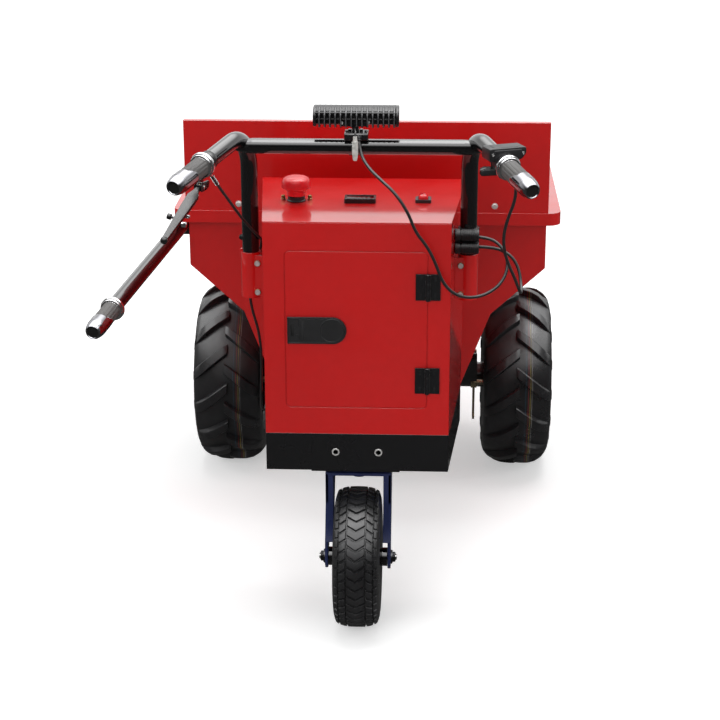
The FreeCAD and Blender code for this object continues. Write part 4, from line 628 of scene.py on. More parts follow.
def tread_relief(theta, across):
    """How deep the tread's cuts are at each place: 0 on a block, 1 in a groove."""
    a = np.abs(across)
    pitch = 2 * np.pi / CASTER_ROWS
    soft = 0.55

    def cut(distance, half_width):
        return np.clip((half_width + soft / 2 - np.abs(distance)) / soft, 0, 1)

    def slot(phase, half_width):
        run = ((theta / pitch + phase) % 1.0 - 0.5) * pitch * CASTER_R
        return cut(run, half_width)

    run_mm = pitch * CASTER_R
    rings = np.maximum.reduce([cut(a - 17, 1.1), cut(a - 31, 1.1)])
    centre = np.where(a < 17, slot(a * 0.62 / run_mm, 2.1), 0)
    middle = np.where((a >= 17) & (a < 31), slot((24 - a) * 0.62 / run_mm, 2.1), 0)
    edge = np.where(a >= 31, slot(0.35, 2.2) * np.clip((38.5 - a) / 2.0, 0, 1), 0)
    return np.maximum.reduce([rings, centre, middle, edge])


def caster_tyre():
    profile = np.array(caster_profile())
    steps = CASTER_ROWS * 16
    theta = np.linspace(0, 2 * np.pi, steps, endpoint=False)[:, None]
    radius, across = profile[:, 0][None, :], profile[:, 1][None, :]
    on_tread = np.clip((radius - 116) / 3, 0, 1)
    depth = tread_relief(theta, across + 0 * theta) * 3.6 * on_tread
    r = radius - depth
    rows = np.stack([across + 0 * theta, -np.sin(theta) * r, np.cos(theta) * r], axis=-1)
    rows = rows * MM + np.array(at(0, CASTER_Y, CASTER_Z))
    mesh = grid_mesh("caster_tyre_mesh", rows, wrap_rows=True, wrap_cols=False)
    obj = piece("caster_tyre_tread", mesh, "tyre", "caster_wheel", replaced=("caster_tyre",))
    smooth_by_angle(obj, 40)


caster_tyre()


# ---------------------------------------------------------------- detailed pieces
def rect(a0, a1, b0, b1, r=1.0, n=3):
    """A rectangle with round corners, as (a, b) points."""
    points = []
    for ca, cb, start in ((a1 - r, b1 - r, 0), (a0 + r, b1 - r, 90), (a0 + r, b0 + r, 180), (a1 - r, b0 + r, 270)):
        for k in range(n + 1):
            t = math.radians(start + 90 * k / n)
            points.append((ca + r * math.cos(t), cb + r * math.sin(t)))
    return points


def circle(steps):
    """Cosine and sine of even steps round a turn."""
    return [(math.cos(2 * math.pi * k / steps), math.sin(2 * math.pi * k / steps)) for k in range(steps)]


def inset(outline, d):
    """Moves each side of a closed outline inwards by d."""
    area = sum(a[0] * b[1] - b[0] * a[1] for a, b in zip(outline, outline[1:] + outline[:1]))
    sign = 1 if area > 0 else -1
    moved = []
    for i, p in enumerate(outline):
        before, after = Vector(outline[i - 1]), Vector(outline[(i + 1) % len(outline)])
        e1, e2 = (Vector(p) - before).normalized(), (after - Vector(p)).normalized()
        n1, n2 = Vector((-e1.y, e1.x)) * sign, Vector((-e2.y, e2.x)) * sign
        middle = (n1 + n2).normalized()
        moved.append(Vector(p) + middle * (d / max(0.35, middle.dot(n1))))
    return [(p.x, p.y) for p in moved]


class Kit:
    """Collects shapes given in mm in a local frame into one mesh with several materials."""

    def __init__(self, *keys):
        self.bm = bmesh.new()
        self.keys = keys
        self.aim()

    def aim(self, origin=(0, 0, 0), x=(1, 0, 0), z=(0, 0, 1)):
        z, x = Vector(z).normalized(), Vector(x)
        x = (x - z * x.dot(z)).normalized()
        self.turn = Matrix((x, z.cross(x), z)).transposed()
        self.origin = Vector(origin)

    def skin(self, rings, key, wrap=True, caps=True):
        """Skins closed rings of points; the key may be a function of ring and step."""
        rows = [[self.bm.verts.new(at(*(self.origin + self.turn @ Vector(p)))) for p in ring] for ring in rings]
        n = len(rows[0])
        pick = key if callable(key) else lambda i, j: key
        for i, (a, b) in enumerate(zip(rows, rows[1:])):
            for j in range(n if wrap else n - 1):
                face = self.bm.faces.new((a[j], a[(j + 1) % n], b[(j + 1) % n], b[j]))
                face.material_index = self.keys.index(pick(i, j))
        if caps:
            for i, row in ((0, rows[0]), (len(rows) - 2, rows[-1])):
                self.bm.faces.new(row).material_index = self.keys.index(pick(i, 0))

    def turned(self, key, outline, centre=(0, 0, 0), axis=(0, 0, 1), steps=32):
        """Turns (radius, along) points about an axis through a centre."""
        axis, side, other = basis(axis)
        spokes = [side * c + other * s for c, s in circle(steps)]
        rings = [[Vector(centre) + axis * along + spoke * max(r, 0.02) for spoke in spokes] for r, along in outline]
        self.skin(rings, key)

    def prism(self, key, outline, low, high, axis="y", bevel=0.6):
        """Extrudes an outline of the other two directions between low and high, with chamfered rims."""
        place = {"x": lambda a, b, t: (t, a, b), "y": lambda a, b, t: (a, t, b), "z": lambda a, b, t: (a, b, t)}[axis]
        small, mid = (inset(outline, bevel), inset(outline, bevel * 0.3)) if bevel else (outline, outline)
        steps = [(small, low), (mid, low + bevel * 0.3), (outline, low + bevel), (outline, high - bevel),
                (mid, high - bevel * 0.3), (small, high)] if bevel else [(outline, low), (outline, high)]
        self.skin([[place(a, b, t) for a, b in line] for line, t in steps], key)

    def box(self, key, low, high, r=1.0, bevel=0.5, axis="y"):
        (x0, y0, z0), (x1, y1, z1) = low, high
        a, b, t = {"x": ((y0, y1), (z0, z1), (x0, x1)), "y": ((x0, x1), (z0, z1), (y0, y1)),
                "z": ((x0, x1), (y0, y1), (z0, z1))}[axis]
        r = min(r, (a[1] - a[0]) * 0.45, (b[1] - b[0]) * 0.45)
        bevel = min(bevel, r * 0.9, (t[1] - t[0]) * 0.4)
        self.prism(key, rect(*a, *b, r), *t, axis, bevel)

    def screw(self, key, place, axis, r, h):
        """A round head with a round socket."""
        self.turned(key, [(0, h - 0.55 * h), (r * 0.5, h - 0.55 * h), (r * 0.52, h), (r * 0.85, h), (r, h * 0.82),
                (r, 0)], place, axis, 24)

    def bolt(self, key, place, axis, across, h):
        """A hexagon head with its chamfer and washer."""
        c = across / math.sqrt(3)
        self.turned(key, [(c * 0.80, h), (c * 0.86, h), (c, h * 0.78), (c, h * 0.18)], place, axis, 6)
        self.turned(key, [(c * 1.16, h * 0.18), (c * 1.2, 0)], place, axis, 24)

    def wire(self, key, points, radius, sides=12):
        spots = [Vector(p) for p in points]
        rings, side = [], None
        for i in range(len(spots)):
            ahead = (spots[min(i + 1, len(spots) - 1)] - spots[max(i - 1, 0)]).normalized()
            side = basis(ahead)[1] if side is None else (side - ahead * side.dot(ahead)).normalized()
            other = ahead.cross(side)
            rings.append([spots[i] + (side * c + other * s) * radius for c, s in circle(sides)])
        self.skin(rings, key)

    def done(self, name, body, replaced=(), angle=35):
        mesh = finish_bmesh(self.bm, name + "_mesh")
        for key in self.keys:
            mesh.materials.append(MAT[key])
        obj = piece(name, mesh, None, body, replaced=replaced)
        smooth_by_angle(obj, angle)
        return obj


CROSSBAR_Y, CROSSBAR_Z = -778.0, 888.0
TILT_Z = 913.0
POST_X, POST_Y = 192.5, -748.0
CLIP_Y = -776.6
DASH_Z = 772.5
ESTOP_X, ESTOP_Y = -114.0, -702.0
SWITCH_X, SWITCH_Y = 112.0, -700.0
REAR_Y = -848.0
HINGE_X, HINGE_Y = 123.2, -852.6
HINGE_Z = (658.5, 487.5)
PADDLE_X, PADDLE_Z = -43.4, 578.0
KINGPIN_Y = -763.0
LEVER_PIVOT, LEVER_TIP = Vector((-262, -884, 842)), Vector((-309, -1000, 777))
BRAKE_EXIT, BRAKE_AWAY = Vector((-244, -876, 861)), Vector((9, 19, -23)).normalized()
LEFT_GRIP_END, DUMP_END = Vector((-290, -998, 866)), Vector((-454, -896, 584))
GRIP_LEN = 107
TUB_SECTION = ((187, 325), (205, 371), (244, 473), (348, 568), (348, 680))
GRIP_FOOT = (251.66, -899.69, 883.7)
GRIP_HEADING = (0.358341, -0.918824, -0.165388)
LEFT_FOOT = (-GRIP_FOOT[0], *GRIP_FOOT[1:])
LEFT_HEADING = (-GRIP_HEADING[0], *GRIP_HEADING[1:])
DUMP_HEADING = tuple(Vector((-90, -496, -60)).normalized())
DUMP_FOOT = tuple(DUMP_END - Vector(DUMP_HEADING) * GRIP_LEN)


def grip(name, node, body, foot, heading, tilt):
    """A ribbed rubber grip between a double chrome flange and a chrome end sleeve with a slanted collar."""
    kit = Kit("grip", "chrome", "smoke", "dark")
    kit.aim(foot, (1, 0, 0), heading)
    kit.turned("chrome", [(12, 0), (20.6, 0), (21.6, 0.8), (22, 2), (22, 5.6), (21.4, 6.8), (20, 7.6), (18.4, 8.0),
            (18.2, 8.5), (19.6, 8.9), (20.2, 9.6), (20.2, 11.2), (19.6, 12.0), (17.4, 12.6), (16.0, 12.8)], steps=72)
    stations = [12.2 + 0.75 * k for k in range(102)]
    steps = 80

    def edge(j):
        return 58 + 8 * max(-1, min(1, 2.5 * math.cos(2 * math.pi * j / steps - tilt)))

    rings = []
    for z in stations:
        ring = []
        for j in range(steps):
            a = 2 * math.pi * j / steps
            if z < edge(j):
                r = 16.45 - (0.55 if j % 5 == 0 else 0) - (0.5 if int(z / 0.75) % 4 == 0 else 0)
            else:
                r = 17.15 if z < 86.5 else 17.15 - (z - 86.5) * 0.12
            ring.append((math.cos(a) * r, math.sin(a) * r, z))
        rings.append(ring)
    kit.skin(rings, lambda i, j: "grip" if stations[i] < edge(j) - 0.4 else "smoke", caps=False)
    last = rings[-1][0][2]
    kit.turned("smoke", [(16.8, last - 0.4), (16.8, 89.5), (16.4, 93), (15.7, 97), (15.0, 100.4), (14.2, 103),
            (13.2, 105.2), (12.2, 106.6), (11.2, 107), (10.4, 106.2), (9.8, 104.8)], steps=72)
    # Near-black in the end's groove ring and at the bottom of its shallow hole: painted shade in the hollows.
    kit.turned("dark", [(10, 105), (9.0, 103.8), (8.2, 103.8)], steps=48)
    kit.turned("smoke", [(8.3, 103.2), (7.6, 104.8), (6.8, 105), (6.2, 104.4), (6.0, 103)], steps=48)
    kit.turned("dark", [(6.2, 103.4), (5.2, 101.5), (0, 101.5)], steps=32)
    kit.done(name, body, (node,), 32)


grip("left_grip_detail", "left_grip", "chassis", LEFT_FOOT, LEFT_HEADING, 2.4)
grip("throttle_grip_detail", "throttle_grip", "throttle", GRIP_FOOT, GRIP_HEADING, 1.0)
grip("dump_grip_detail", "dump_handle_grip", "tub", DUMP_FOOT, DUMP_HEADING, 2.0)


def throttle_box():
    kit = Kit("plastic", "lever", "steel")
    kit.aim(GRIP_FOOT, (0.93165, 0.36334, 0))
    case = [(-30, 12), (-28, 9), (-25, 8.3), (22, 8.3), (29, 11), (35, 18), (36, 21), (36, 27), (34.6, 29.6),
            (32, 30.3), (-27, 30.3), (-29.4, 29.2), (-30, 27)]
    kit.prism("plastic", case, 4, 38, "y", 1.4)
    kit.prism("plastic", rect(-22, 28, 12, 27, 3), 2.6, 5, "y", 0.8)
    for x in (-24, 30):
        kit.screw("steel", (x, 4.2, 20), (0, -1, 0), 2.4, 1.2)
    kit.box("plastic", (-20, 8, 29.8), (24, 34, 31), 4, 0.6, "z")
    kit.aim(GRIP_FOOT, (1, 0, 0), GRIP_HEADING)
    kit.turned("plastic", [(15.2, -26), (18.6, -26), (19.6, -25), (19.6, -22), (18.8, -21), (18.8, -8), (19.6, -7),
            (19.6, -3), (18.8, -2), (15.2, -2)], steps=48)
    kit.aim()
    kit.prism("lever", [(206.5, 871), (209, 867.6), (213, 867), (236, 868.5), (240, 872), (241, 877), (238, 880),
            (214, 880), (207.5, 877)], -900, -881, "y", 1.2)
    kit.prism("plastic", [(208.5, 871), (211, 868.6), (235, 870), (238, 875), (236, 878), (214, 878), (209.5, 875.5)],
            -900.8, -899.6, "y", 0.4)
    exit_at, back = start_of(THROTTLE_ROUTE)
    outline = [(2.8, 0), (4.6, 0), (5.0, 0.6)]
    for k in range(5):
        outline += [(5.0, 1 + k * 2.2), (4.2, 1.6 + k * 2.2), (4.2, 2.4 + k * 2.2), (5.0, 3.0 + k * 2.2)]
    kit.turned("plastic", outline + [(6, 12.4), (6, 19), (0, 20)], exit_at, back, 28)
    kit.done("throttle_box_detail", "chassis", ("throttle_housing",))


throttle_box()


def brake_bits():
    kit = Kit("chrome", "brass", "lever", "steel")
    axis = (LEVER_TIP - LEVER_PIVOT).normalized().cross(LEFT_GRIP_END - LEVER_PIVOT).normalized()
    to_clamp = Vector(LEFT_FOOT) - Vector(LEFT_HEADING) * 14 - LEVER_PIVOT
    kit.aim(LEVER_PIVOT, axis, axis.cross(to_clamp))
    kit.turned("steel", [(0, -9.6), (3, -9.4), (3.6, -8.6), (3.6, 8.6), (3, 9.4), (0, 9.6)], axis=(1, 0, 0), steps=24)
    for low, high in ((-7.2, -4.2), (4.2, 7.2)):
        cheek = [(math.cos(math.radians(a)) * 8.6, math.sin(math.radians(a)) * 8.6) for a in range(180, 361, 15)]
        kit.prism("lever", cheek + [(8.2, 20), (5, 26), (-5, 26), (-8.2, 20)], low, high, "x", 0.8)
        kit.turned("lever", [(5.4, high), (5.4, high + 0.8), (4.8, high + 1.2), (0, high + 1.2)], axis=(1, 0, 0),
                steps=24)
    kit.box("lever", (-7.2, 15, -7), (7.2, to_clamp.length - 13, 7), 2.5, 1.2)
    kit.aim(LEFT_FOOT, (1, 0, 0), LEFT_HEADING)
    kit.turned("lever", [(15.1, -20), (16.0, -20), (16.4, -19.4), (16.4, -8.6), (16.0, -8), (15.1, -8)], steps=56)
    kit.aim()
    kit.turned("brass", [(0, 4), (2.6, 4), (3.2, 3.2), (3.2, -8)], (-260.4, -886, 843.8), (0, -1, 0), 20)
    away = BRAKE_AWAY
    start = BRAKE_EXIT - away * 14
    kit.bolt("chrome", start, away, 9, 3.4)
    kit.turned("chrome", [(3.2, 3), (4.6, 3.2), (4.6, 7), (4.2, 7.6), (4.6, 8.2), (4.2, 8.8), (4.6, 9.4), (4.2, 10),
            (3.4, 12), (3.0, 19)], start, away, 24)
    spring = []
    for k in range(96):
        a = 2 * math.pi * k / 12
        axis, side, other = basis(away)
        spring.append(start + axis * (20 + k * 0.26) + (side * math.cos(a) + other * math.sin(a)) * 3.3)
    kit.wire("steel", spring, 0.55, 6)
    kit.turned("lever", [(0, -13), (4.2, -13), (5, -12), (5, -1), (4.4, 0), (0, 0)], start, away, 24)
    kit.done("brake_perch_bits", "chassis", ("brake_perch",))
    kit = Kit("chrome")
    kit.aim(LEVER_PIVOT, axis, axis.cross(LEVER_TIP - LEVER_PIVOT))
    for along, r in ((18, 2.6), (36, 3.2), (62, 3.0), (78, 4.4)):
        kit.turned("chrome", [(0, -5.4), (r * 0.6, -5.2), (r, -4.2), (r, 3.2), (r * 0.6, 4.2), (0, 4.4)], (0, along, 0),
                steps=24)
    kit.done("brake_lever_bits", "lever")


brake_bits()


def work_light():
    kit = Kit("light_body", "fin_painted_highlight", "chrome", "white", "amber")
    kit.prism("light_body", [(-789, 930), (-785, 927.4), (-764, 927.4), (-764, 956.8), (-778, 956.8), (-788, 952),
            (-789, 949)], -75.5, 68.5, "x", 2.0)
    for low, high in (((-75, -765, 927.2), (68, -758, 930.4)), ((-75, -765, 953.2), (68, -758, 957))):
        kit.box("light_body", low, high, 1.2, 0.8, "x")
    for x0, x1 in ((-75, -71), (64, 68)):
        kit.box("light_body", (x0, -765, 928), (x1, -758, 956.4), 1.2, 0.8)
    kit.box("chrome", (-71, -764, 930), (64, -763.4, 953.6), 1, 0.1)
    for row in (936.2, 947.4):
        for i in range(12):
            x = -65.4 + i * 11.26
            kit.turned("chrome", [(4.6, -0.6), (3.0, 0.2), (2.4, -0.3)], (x, -763.2, row), (0, 1, 0), 16)
            kit.box("amber", (x - 1.5, -763.3, row - 1.5), (x + 1.5, -762.9, row + 1.5), 0.3, 0.1)
    curve = [(-760, 957.4), (-772, 957.4), (-780, 956.9), (-786.5, 955.2), (-792, 952.2), (-796, 948), (-797.8, 943.2),
            (-797.8, 934), (-796.6, 929), (-793.6, 925.2), (-789.5, 923.6), (-780, 923.6), (-780, 938), (-760, 950)]
    for i in range(15):
        x = -66 + 128 * i / 14
        kit.prism("light_body", curve, x - 1.7, x + 1.7, "x", 0.75)
        # A thin lighter strip just proud of each fin's outer edge: painted highlight where light catches the fins.
        kit.prism("fin_painted_highlight", [(y - 0.12, z) for y, z in curve[2:10]] + [(-786, 932), (-786, 950)], x - 0.55, x + 0.55,
                "x", 0.1)
    for z in (949.4, 938.6):
        kit.box("light_body", (-73, -794.8, z - 1.2), (66, -786, z + 1.2), 0.8, 0.4, "x")
    for x0, x1 in ((-77, -71.4), (64.4, 70)):
        kit.prism("light_body", [(-759, 926.6), (-759, 955.6), (-762, 957.6), (-779, 957.6), (-787, 955.4),
                (-793.6, 950), (-796.6, 943.6), (-796.6, 933), (-793, 927), (-788, 924.6), (-762, 924.6)], x0, x1, "x",
                1.8)
    kit.box("light_body", (-28, -790, 925.4), (17, -768, 935), 2, 0.8)
    for x, z, way in ((-28, 931.6, -1), (17.2, 933.1, 1)):
        kit.turned("white", [(0, 2.6), (2.2, 2.5), (3.4, 1.4), (3.6, 0)], (x, -788.5, z), (way * 0.6, -0.8, 0), 20)
    kit.box("light_body", (-10, -789, 910), (1, -771, 926.4), 1.6, 0.8)
    kit.turned("light_body", [(0, -6), (6.4, -6), (7, -5.2), (7, 5.2), (6.4, 6), (0, 6)], (-4.5, CROSSBAR_Y, TILT_Z),
            (1, 0, 0), 32)
    kit.done("work_light_detail", "work_light", ("work_light_housing",))

    kit = Kit("plastic_gloss", "steel", "plastic")
    base = [(-796, 903.6), (-795, 902.6), (-791, 901), (-765, 901), (-761, 903), (-760, 906), (-760, 912),
            (-762, 914.6), (-794, 914.6), (-796, 912.4)]
    kit.prism("plastic_gloss", base, -23.5, 17.5, "x", 1.6)
    for x0, x1 in ((-17.4, -11.4), (2.4, 8.4)):
        kit.prism("plastic_gloss", [(-788, 912), (-767, 912), (-767, 916), (-771, 918.4), (-784, 918.4), (-788, 916)],
                x0, x1, "x", 0.8)
    for x in (-19.5, 13.5):
        kit.screw("steel", (x, CROSSBAR_Y, 914.4), (0, 0, 1), 3, 2.6)
    spokes = [(math.cos(math.radians(84 - 172 * k / 14)), math.sin(math.radians(84 - 172 * k / 14))) for k in range(15)]
    strap = [(c * 13.9, v * 13.9) for c, v in spokes] + [(c * 15.4, v * 15.4) for c, v in reversed(spokes)]
    kit.skin([[(x, CROSSBAR_Y + c, CROSSBAR_Z + v) for c, v in strap] for x in (-16, 9)], "plastic_gloss")
    exit_at, back = start_of(LIGHT_ROUTE)
    kit.turned("plastic", [(2.8, 0), (4.2, 0), (4.8, 0.8), (4.8, 2.6), (4.0, 3.2), (4.0, 4), (4.8, 4.6), (4.8, 8.4),
            (0, 9)], exit_at, back, 24)
    kit.box("plastic", (-2.5, -799, 905), (6.5, -790, 911), 1.5, 0.6)
    kit.done("work_light_bracket_detail", "chassis", ("work_light_bracket",))

    kit = Kit("clear", "cable", "steel")
    rings = []
    for z, a, b in ((871.2, 2.4, 1.9), (872.2, 3.3, 2.6), (875, 4.0, 3.2), (881, 4.7, 3.8), (884, 5.2, 4.0),
            (903.4, 5.2, 4.0), (904.5, 4.8, 3.6), (905, 3.6, 3.0), (912.6, 3.6, 3.0), (913.5, 3.0, 2.4)):
        rings.append([(-3.8 + x, -812 + y, z) for x, y in rect(-a, a, -b, b, min(a, b) * 0.45, 3)])
    kit.skin(rings, "clear")
    for z in (886.5, 889.5, 892.5, 895.5):
        kit.box("clear", (-8.4, -816.4, z), (0.8, -815.4, z + 1.3), 0.4, 0.2)
    for x in (-5.8, -1.8):
        kit.wire("steel", [(x, -812, 874), (x, -812, 902)], 0.9, 8)
    kit.wire("cable", [(-3.8, -812, 912.5), (-3.8, -811.5, 916), (-3.2, -808, 920), (-4.6, -801, 922.6),
            (-5, -794, 924), (-5, -788, 926)], 1.7, 12)
    kit.done("light_connector_detail", "work_light", ("light_connector",))


work_light()


def post_clip():
    kit = Kit("plastic", "plastic_gloss")
    for z in (732.3, 709.6):
        outline = [(0, 169), (11.0, 169), (11.2, 170), (11.2, 177), (10.4, 178), (9.4, 178.4), (9.4, 180.4)]
        for k in range(8):
            x = 181 + k * 3.2
            outline += [(11.1, x), (11.1, x + 1.9), (10.2, x + 2.3), (10.2, x + 3.0)]
        outline += [(10.8, 207), (10.4, 209.4), (9.0, 210.5), (3.2, 210.5)]
        kit.turned("plastic", outline, (0, CLIP_Y, z), (1, 0, 0), 40)
    kit.turned("plastic_gloss", [(15.1, 702), (18.2, 702), (19, 702.8), (19, 739.2), (18.2, 740), (15.1, 740)],
            (POST_X, POST_Y, 0), (0, 0, 1), 48)
    kit.box("plastic_gloss", (183, -773, 703), (202, -760, 739), 2, 0.8)
    kit.done("post_clip_detail", "chassis", ("cable_clip",))
    kit = Kit("plastic_gloss", "red", "plated")
    for side in (-1, 1):
        low, high = sorted((side * 196, side * 212))
        kit.box("red", (low, -752, 680), (high, -744, 697), 3, 0.8)
    kit.bolt("plastic_gloss", (-207.7, -749, 717), (-0.4, -1, 0), 8, 4)
    kit.wire("plastic_gloss", [(-207.5, -748, 717), (-198, -746, 716)], 3.4)
    for side in (-1, 1):
        for z in (621.0, 674.0):
            kit.screw("plated", (side * 179.5, -769, z), (0, -1, 0), 4.6, 1.0)
    for x in (-38, 38):
        kit.turned("plated", [(4.5, 0), (4.5, 0.8), (6.6, 0.8), (7.0, 0)], (x, REAR_Y, 350), (0, -1, 0), 28)
    kit.done("post_bits", "chassis")


post_clip()


def dash_bits():
    kit = Kit("red_plastic")
    x, y, z = ESTOP_X, ESTOP_Y, DASH_Z
    dome = [(0, 46), (7, 45.7), (13, 45), (18, 43.6), (21.8, 41.6), (24.2, 39), (25.6, 35.6), (26.2, 31.5),
            (26.3, 27.5), (26, 24.8), (25, 23.2), (23, 22.2), (19.4, 21.6), (17.8, 20.8), (17.2, 19), (17.1, 15.5),
            (17, 11), (16.6, 10.2), (16, 10.2), (15.8, 10.8), (15.8, 16), (8.1, 16.3), (8.1, -11)]
    kit.turned("red_plastic", dome, (x, y, z), (0, 0, 1), 72)
    kit.done("e_stop_mushroom", "e_stop", ("e_stop_button",), 40)
    kit = Kit("plastic", "brass", "screen", "plastic_gloss")
    kit.turned("plastic", [(14.6, 0.2), (16.4, 0.2), (16.8, 0.8), (16.8, 1.8), (16, 2.6), (15.2, 3), (15.2, 8.2),
            (14.7, 8.8)], (x, y, z), (0, 0, 1), 48)
    for side in (-1, 1):
        kit.screw("brass", (x + side * 23.8, y + 6, z + 3), (0, 0, 1), 3.6, 5.5)
    kit.box("screen", (-23.8, -715.8, 778.7), (23.8, -690.2, 779.6), 1, 0.2, "z")
    kit.box("plastic_gloss", (-26.5, -719, 780), (26.5, -715.6, 781.4), 1, 0.4, "z")
    for i in range(5):
        kit.box("plastic_gloss", (-19 + i * 8, -709, 779.4), (-13.6 + i * 8, -697, 779.9), 0.5, 0.1, "z")
    kit.done("dash_details", "chassis")
    kit = Kit("red_plastic")
    half_x, half_y = 8.5, 10.3
    foot = rect(SWITCH_X - half_x, SWITCH_X + half_x, SWITCH_Y - half_y, SWITCH_Y + half_y, 3.4, 4)
    rings = [[(px, py, DASH_Z - 2.5) for px, py in foot]]
    for t in range(9):
        a = math.radians(10 * t)
        rings.append([(px, py, DASH_Z + 7 + 7.2 * math.sin(a)) for px, py in inset(foot, 5.4 * (1 - math.cos(a)))])
    kit.skin(rings, "red_plastic")
    kit.done("switch_dome", "switch", ("switch_rocker",), 45)


dash_bits()


def door_bits():
    kit = Kit("steel", "plastic_gloss", "red")
    seam = [rect(-124.1 - g, 122.1 + g, 435.9 - g, 720.1 + g, 8 + g, 6) for g in (0.05, 1.35)]
    outer, inner = [(x, -847.0, z) for x, z in seam[1]], [(x, -847.0, z) for x, z in seam[0]]
    deep_in, deep_out = [(x, -846.1, z) for x, _, z in inner], [(x, -846.1, z) for x, _, z in outer]
    kit.skin([outer, inner, deep_in, deep_out], "red", caps=False)
    for z in HINGE_Z:
        # Thin steel strips down both sides of each knuckle: painted highlight standing in for light caught along the
        # knuckle edges.
        for x in (118.7, 127.1):
            kit.box("steel", (x, -852.1, z - 23), (x + 0.7, -850.6, z + 23), 0.3, 0.1)
        for way in (1, -1):
            kit.turned("plastic_gloss", [(0, 24.4), (3.4, 24.3), (4.2, 23.5), (4.2, 22.8)], (HINGE_X, HINGE_Y, z),
                    (0, 0, way), 24)
        for dz in (-15, 15):
            kit.screw("plastic_gloss", (HINGE_X + 12.5, -850.9, z + dz), (0, -1, 0), 3.1, 1.0)
    kit.done("hinge_frame_bits", "chassis")
    kit = Kit("latch", "dark", "plastic_gloss")
    for z in HINGE_Z:
        for dz in (-15, 15):
            kit.screw("plastic_gloss", (HINGE_X - 12.5, -850.9, z + dz), (0, -1, 0), 3.1, 1.0)
    for low, high in (((-121, -852.9, 599.4), (-99, -851.6, 602)), ((-121, -852.9, 554), (-99, -851.6, 556.6)),
            ((-121, -852.9, 554), (-118.6, -851.6, 602))):
        kit.box("latch", low, high, 0.9, 0.4)
    # The latch body's slot is a near-black inset, not a cut: painted shade standing in for the slot's depth.
    kit.box("dark", (-114.7, -852.5, 568.4), (-109, -851.7, 589.6), 0.8, 0.1)
    kit.done("latch_body_bits", "door")
    kit = Kit("latch")
    rings = []
    for r, h in ((19.6, 0.0), (20.0, 0.35), (20.8, 0.5), (21.6, 0.35), (22.0, 0.0)):
        rings.append([(PADDLE_X + c * r, -852.02 - h, PADDLE_Z + s * r) for c, s in circle(64)])
    kit.skin(rings, "latch", caps=False)
    kit.box("latch", (-98, -852.5, 561.5), (-92, -851.8, 594.5), 1, 0.4)
    kit.done("latch_paddle_bits", "latch")


door_bits()


def caster_fork():
    y0, yw, zw = KINGPIN_Y, CASTER_Y, CASTER_Z
    kit = Kit("blue")
    kit.prism("blue", rect(-60, 60, y0 - 38, y0 + 34, 10, 5), 284, 290, "z", 1.2)
    kit.turned("blue", [(10.3, 290), (32, 290), (33, 291), (33, 295.6), (31, 297.6), (10.3, 297.6)], (0, y0, 0),
            (0, 0, 1), 56)
    leg = [(y0 - 36, 290), (y0 + 30, 290), (y0 + 30, 264), (yw + 19, zw + 6), (yw + 19, zw - 10), (yw + 10, zw - 19),
            (yw - 10, zw - 19), (yw - 19, zw - 10), (yw - 19, zw + 16), (y0 - 36, 230)]
    for side in (-1, 1):
        low, high = sorted((side * 54.2, side * 60))
        kit.prism("blue", leg, low, high, "x", 1.0)
        for path in (((y0 - 36, 286), (y0 - 36, 230), (yw - 16.6, zw + 35)), ((y0 + 30, 286), (y0 + 30, 264),
                (yw + 30, zw + 46))):
            a, b = sorted((side * 45.5, side * 59.8))
            rings = []
            for py, pz in path:
                shift = 2.6 if py < y0 else -2.6
                rings.append([(a, py, pz), (b, py, pz), (b, py + shift, pz), (a, py + shift, pz)])
            kit.skin(rings, "blue")
    kit.done("caster_fork_detail", "caster_swivel", ("caster_fork",), 30)
    kit = Kit("dark_steel", "steel")
    kit.turned("dark_steel", [(0, -62), (6, -62), (6, 62), (0, 62)], (0, yw, zw), (1, 0, 0), 24)
    for side in (-1, 1):
        kit.turned("dark_steel", [(6, 60.2), (12.6, 60.2), (13, 60.6), (13, 62), (12.6, 62.4), (6, 62.4)], (0, yw, zw),
                (side, 0, 0), 32)
        kit.bolt("dark_steel", (side * 62.2, yw, zw), (side, 0, 0), 18, 6.6)
        kit.turned("steel", [(0, 71.4), (4.6, 71.2), (5.6, 70.4), (5.6, 66)], (0, yw, zw), (side, 0, 0), 20)
    kit.done("caster_axle_detail", "caster_swivel", ("caster_axle",))
    kit = Kit("black_frame")
    kit.box("black_frame", (-82, -845, 311), (76, -829, 315), 1.5, 0.8, "x")
    kit.done("caster_mount_strip", "chassis")


caster_fork()


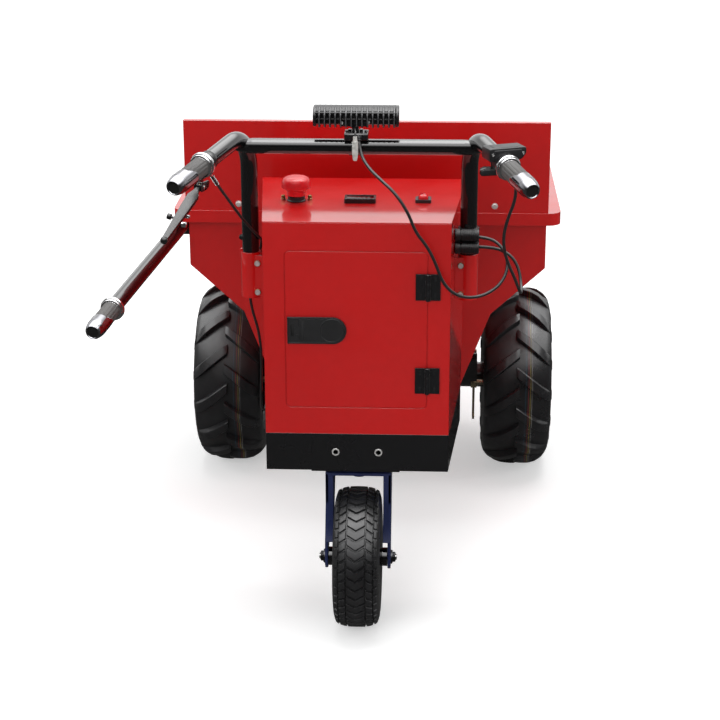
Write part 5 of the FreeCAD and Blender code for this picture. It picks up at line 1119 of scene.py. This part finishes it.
def tub_bits():
    kit = Kit("plated", "red_tub")
    for x, z in ((-247, 698.5), (247, 698.5)):
        kit.bolt("plated", (x, -441, z), (0, -1, 0), 9, 4)
    for x in (-247, -80, 80, 247):
        kit.bolt("plated", (x, -428, 688), (0, 0, 1), 12, 5)
    for y in (-340, -180):
        kit.bolt("plated", (-381.6, y, 624), (-1, 0, 0), 11, 4.4)
    for side in (-1, 1):
        line = []
        for (xa, za), (xb, zb) in zip(TUB_SECTION, TUB_SECTION[1:]):
            for k in range(20):
                t = k / 20
                line.append((side * (xa + (xb - xa) * t - 1.2), -412.2, za + (zb - za) * t))
        kit.wire("red_tub", line, 2.0, 8)
    kit.done("tub_bits", "tub", ("tub_bolts",))


tub_bits()


def cabinet_inside():
    kit = Kit("red_plastic", "cable", "battery", "brass", "plastic")
    for x0 in (-134, 4):
        for i in range(6):
            kit.turned("battery", [(0, 3), (6, 3), (7, 2.2), (7, 0)], (x0 + 20 + i * 18, -723, 557), (0, 0, 1), 20)
        kit.box("battery", (x0 + 8, -800, 556.6), (x0 + 122, -646, 559), 4, 1, "z")
        for x in (25, 105):
            kit.bolt("brass", (x0 + x, -780, 566.5), (0, 0, 1), 13, 6)
        kit.box("plastic", (x0 + 30, -806.8, 440), (x0 + 100, -805.6, 500), 3, 0.4)
    kit.wire("cable", [(-29, -780, 570), (-22, -786, 580), (-2, -788, 584), (20, -786, 580), (29, -780, 570)], 4.2)
    kit.wire("red_plastic", [(109, -780, 570), (112, -774, 590), (96, -740, 620), (60, -690, 636), (40, -640, 640),
            (30, -600, 640)], 4.2)
    kit.wire("cable", [(-109, -780, 570), (-112, -770, 590), (-100, -730, 622), (-70, -680, 640), (-40, -640, 642),
            (-30, -600, 640)], 4.2)
    kit.done("battery_fittings", "chassis")


cabinet_inside()


def wheel_bits():
    for body, side in (("left_wheel", -1), ("right_wheel", 1)):
        kit = Kit("plastic", "steel")
        place = (side * 352, 0, AXLE_Z + 96)
        kit.turned("plastic", [(4.4, -6), (4.4, 2), (3.6, 4), (3.2, 20), (2.6, 22)], place, (side * 0.8, 0, -0.6), 16)
        kit.turned("steel", [(2.6, 21), (3.2, 21.4), (3.2, 29), (2.4, 30), (0, 30)], place, (side * 0.8, 0, -0.6), 16)
        kit.done(body + "_valve", body)


wheel_bits()
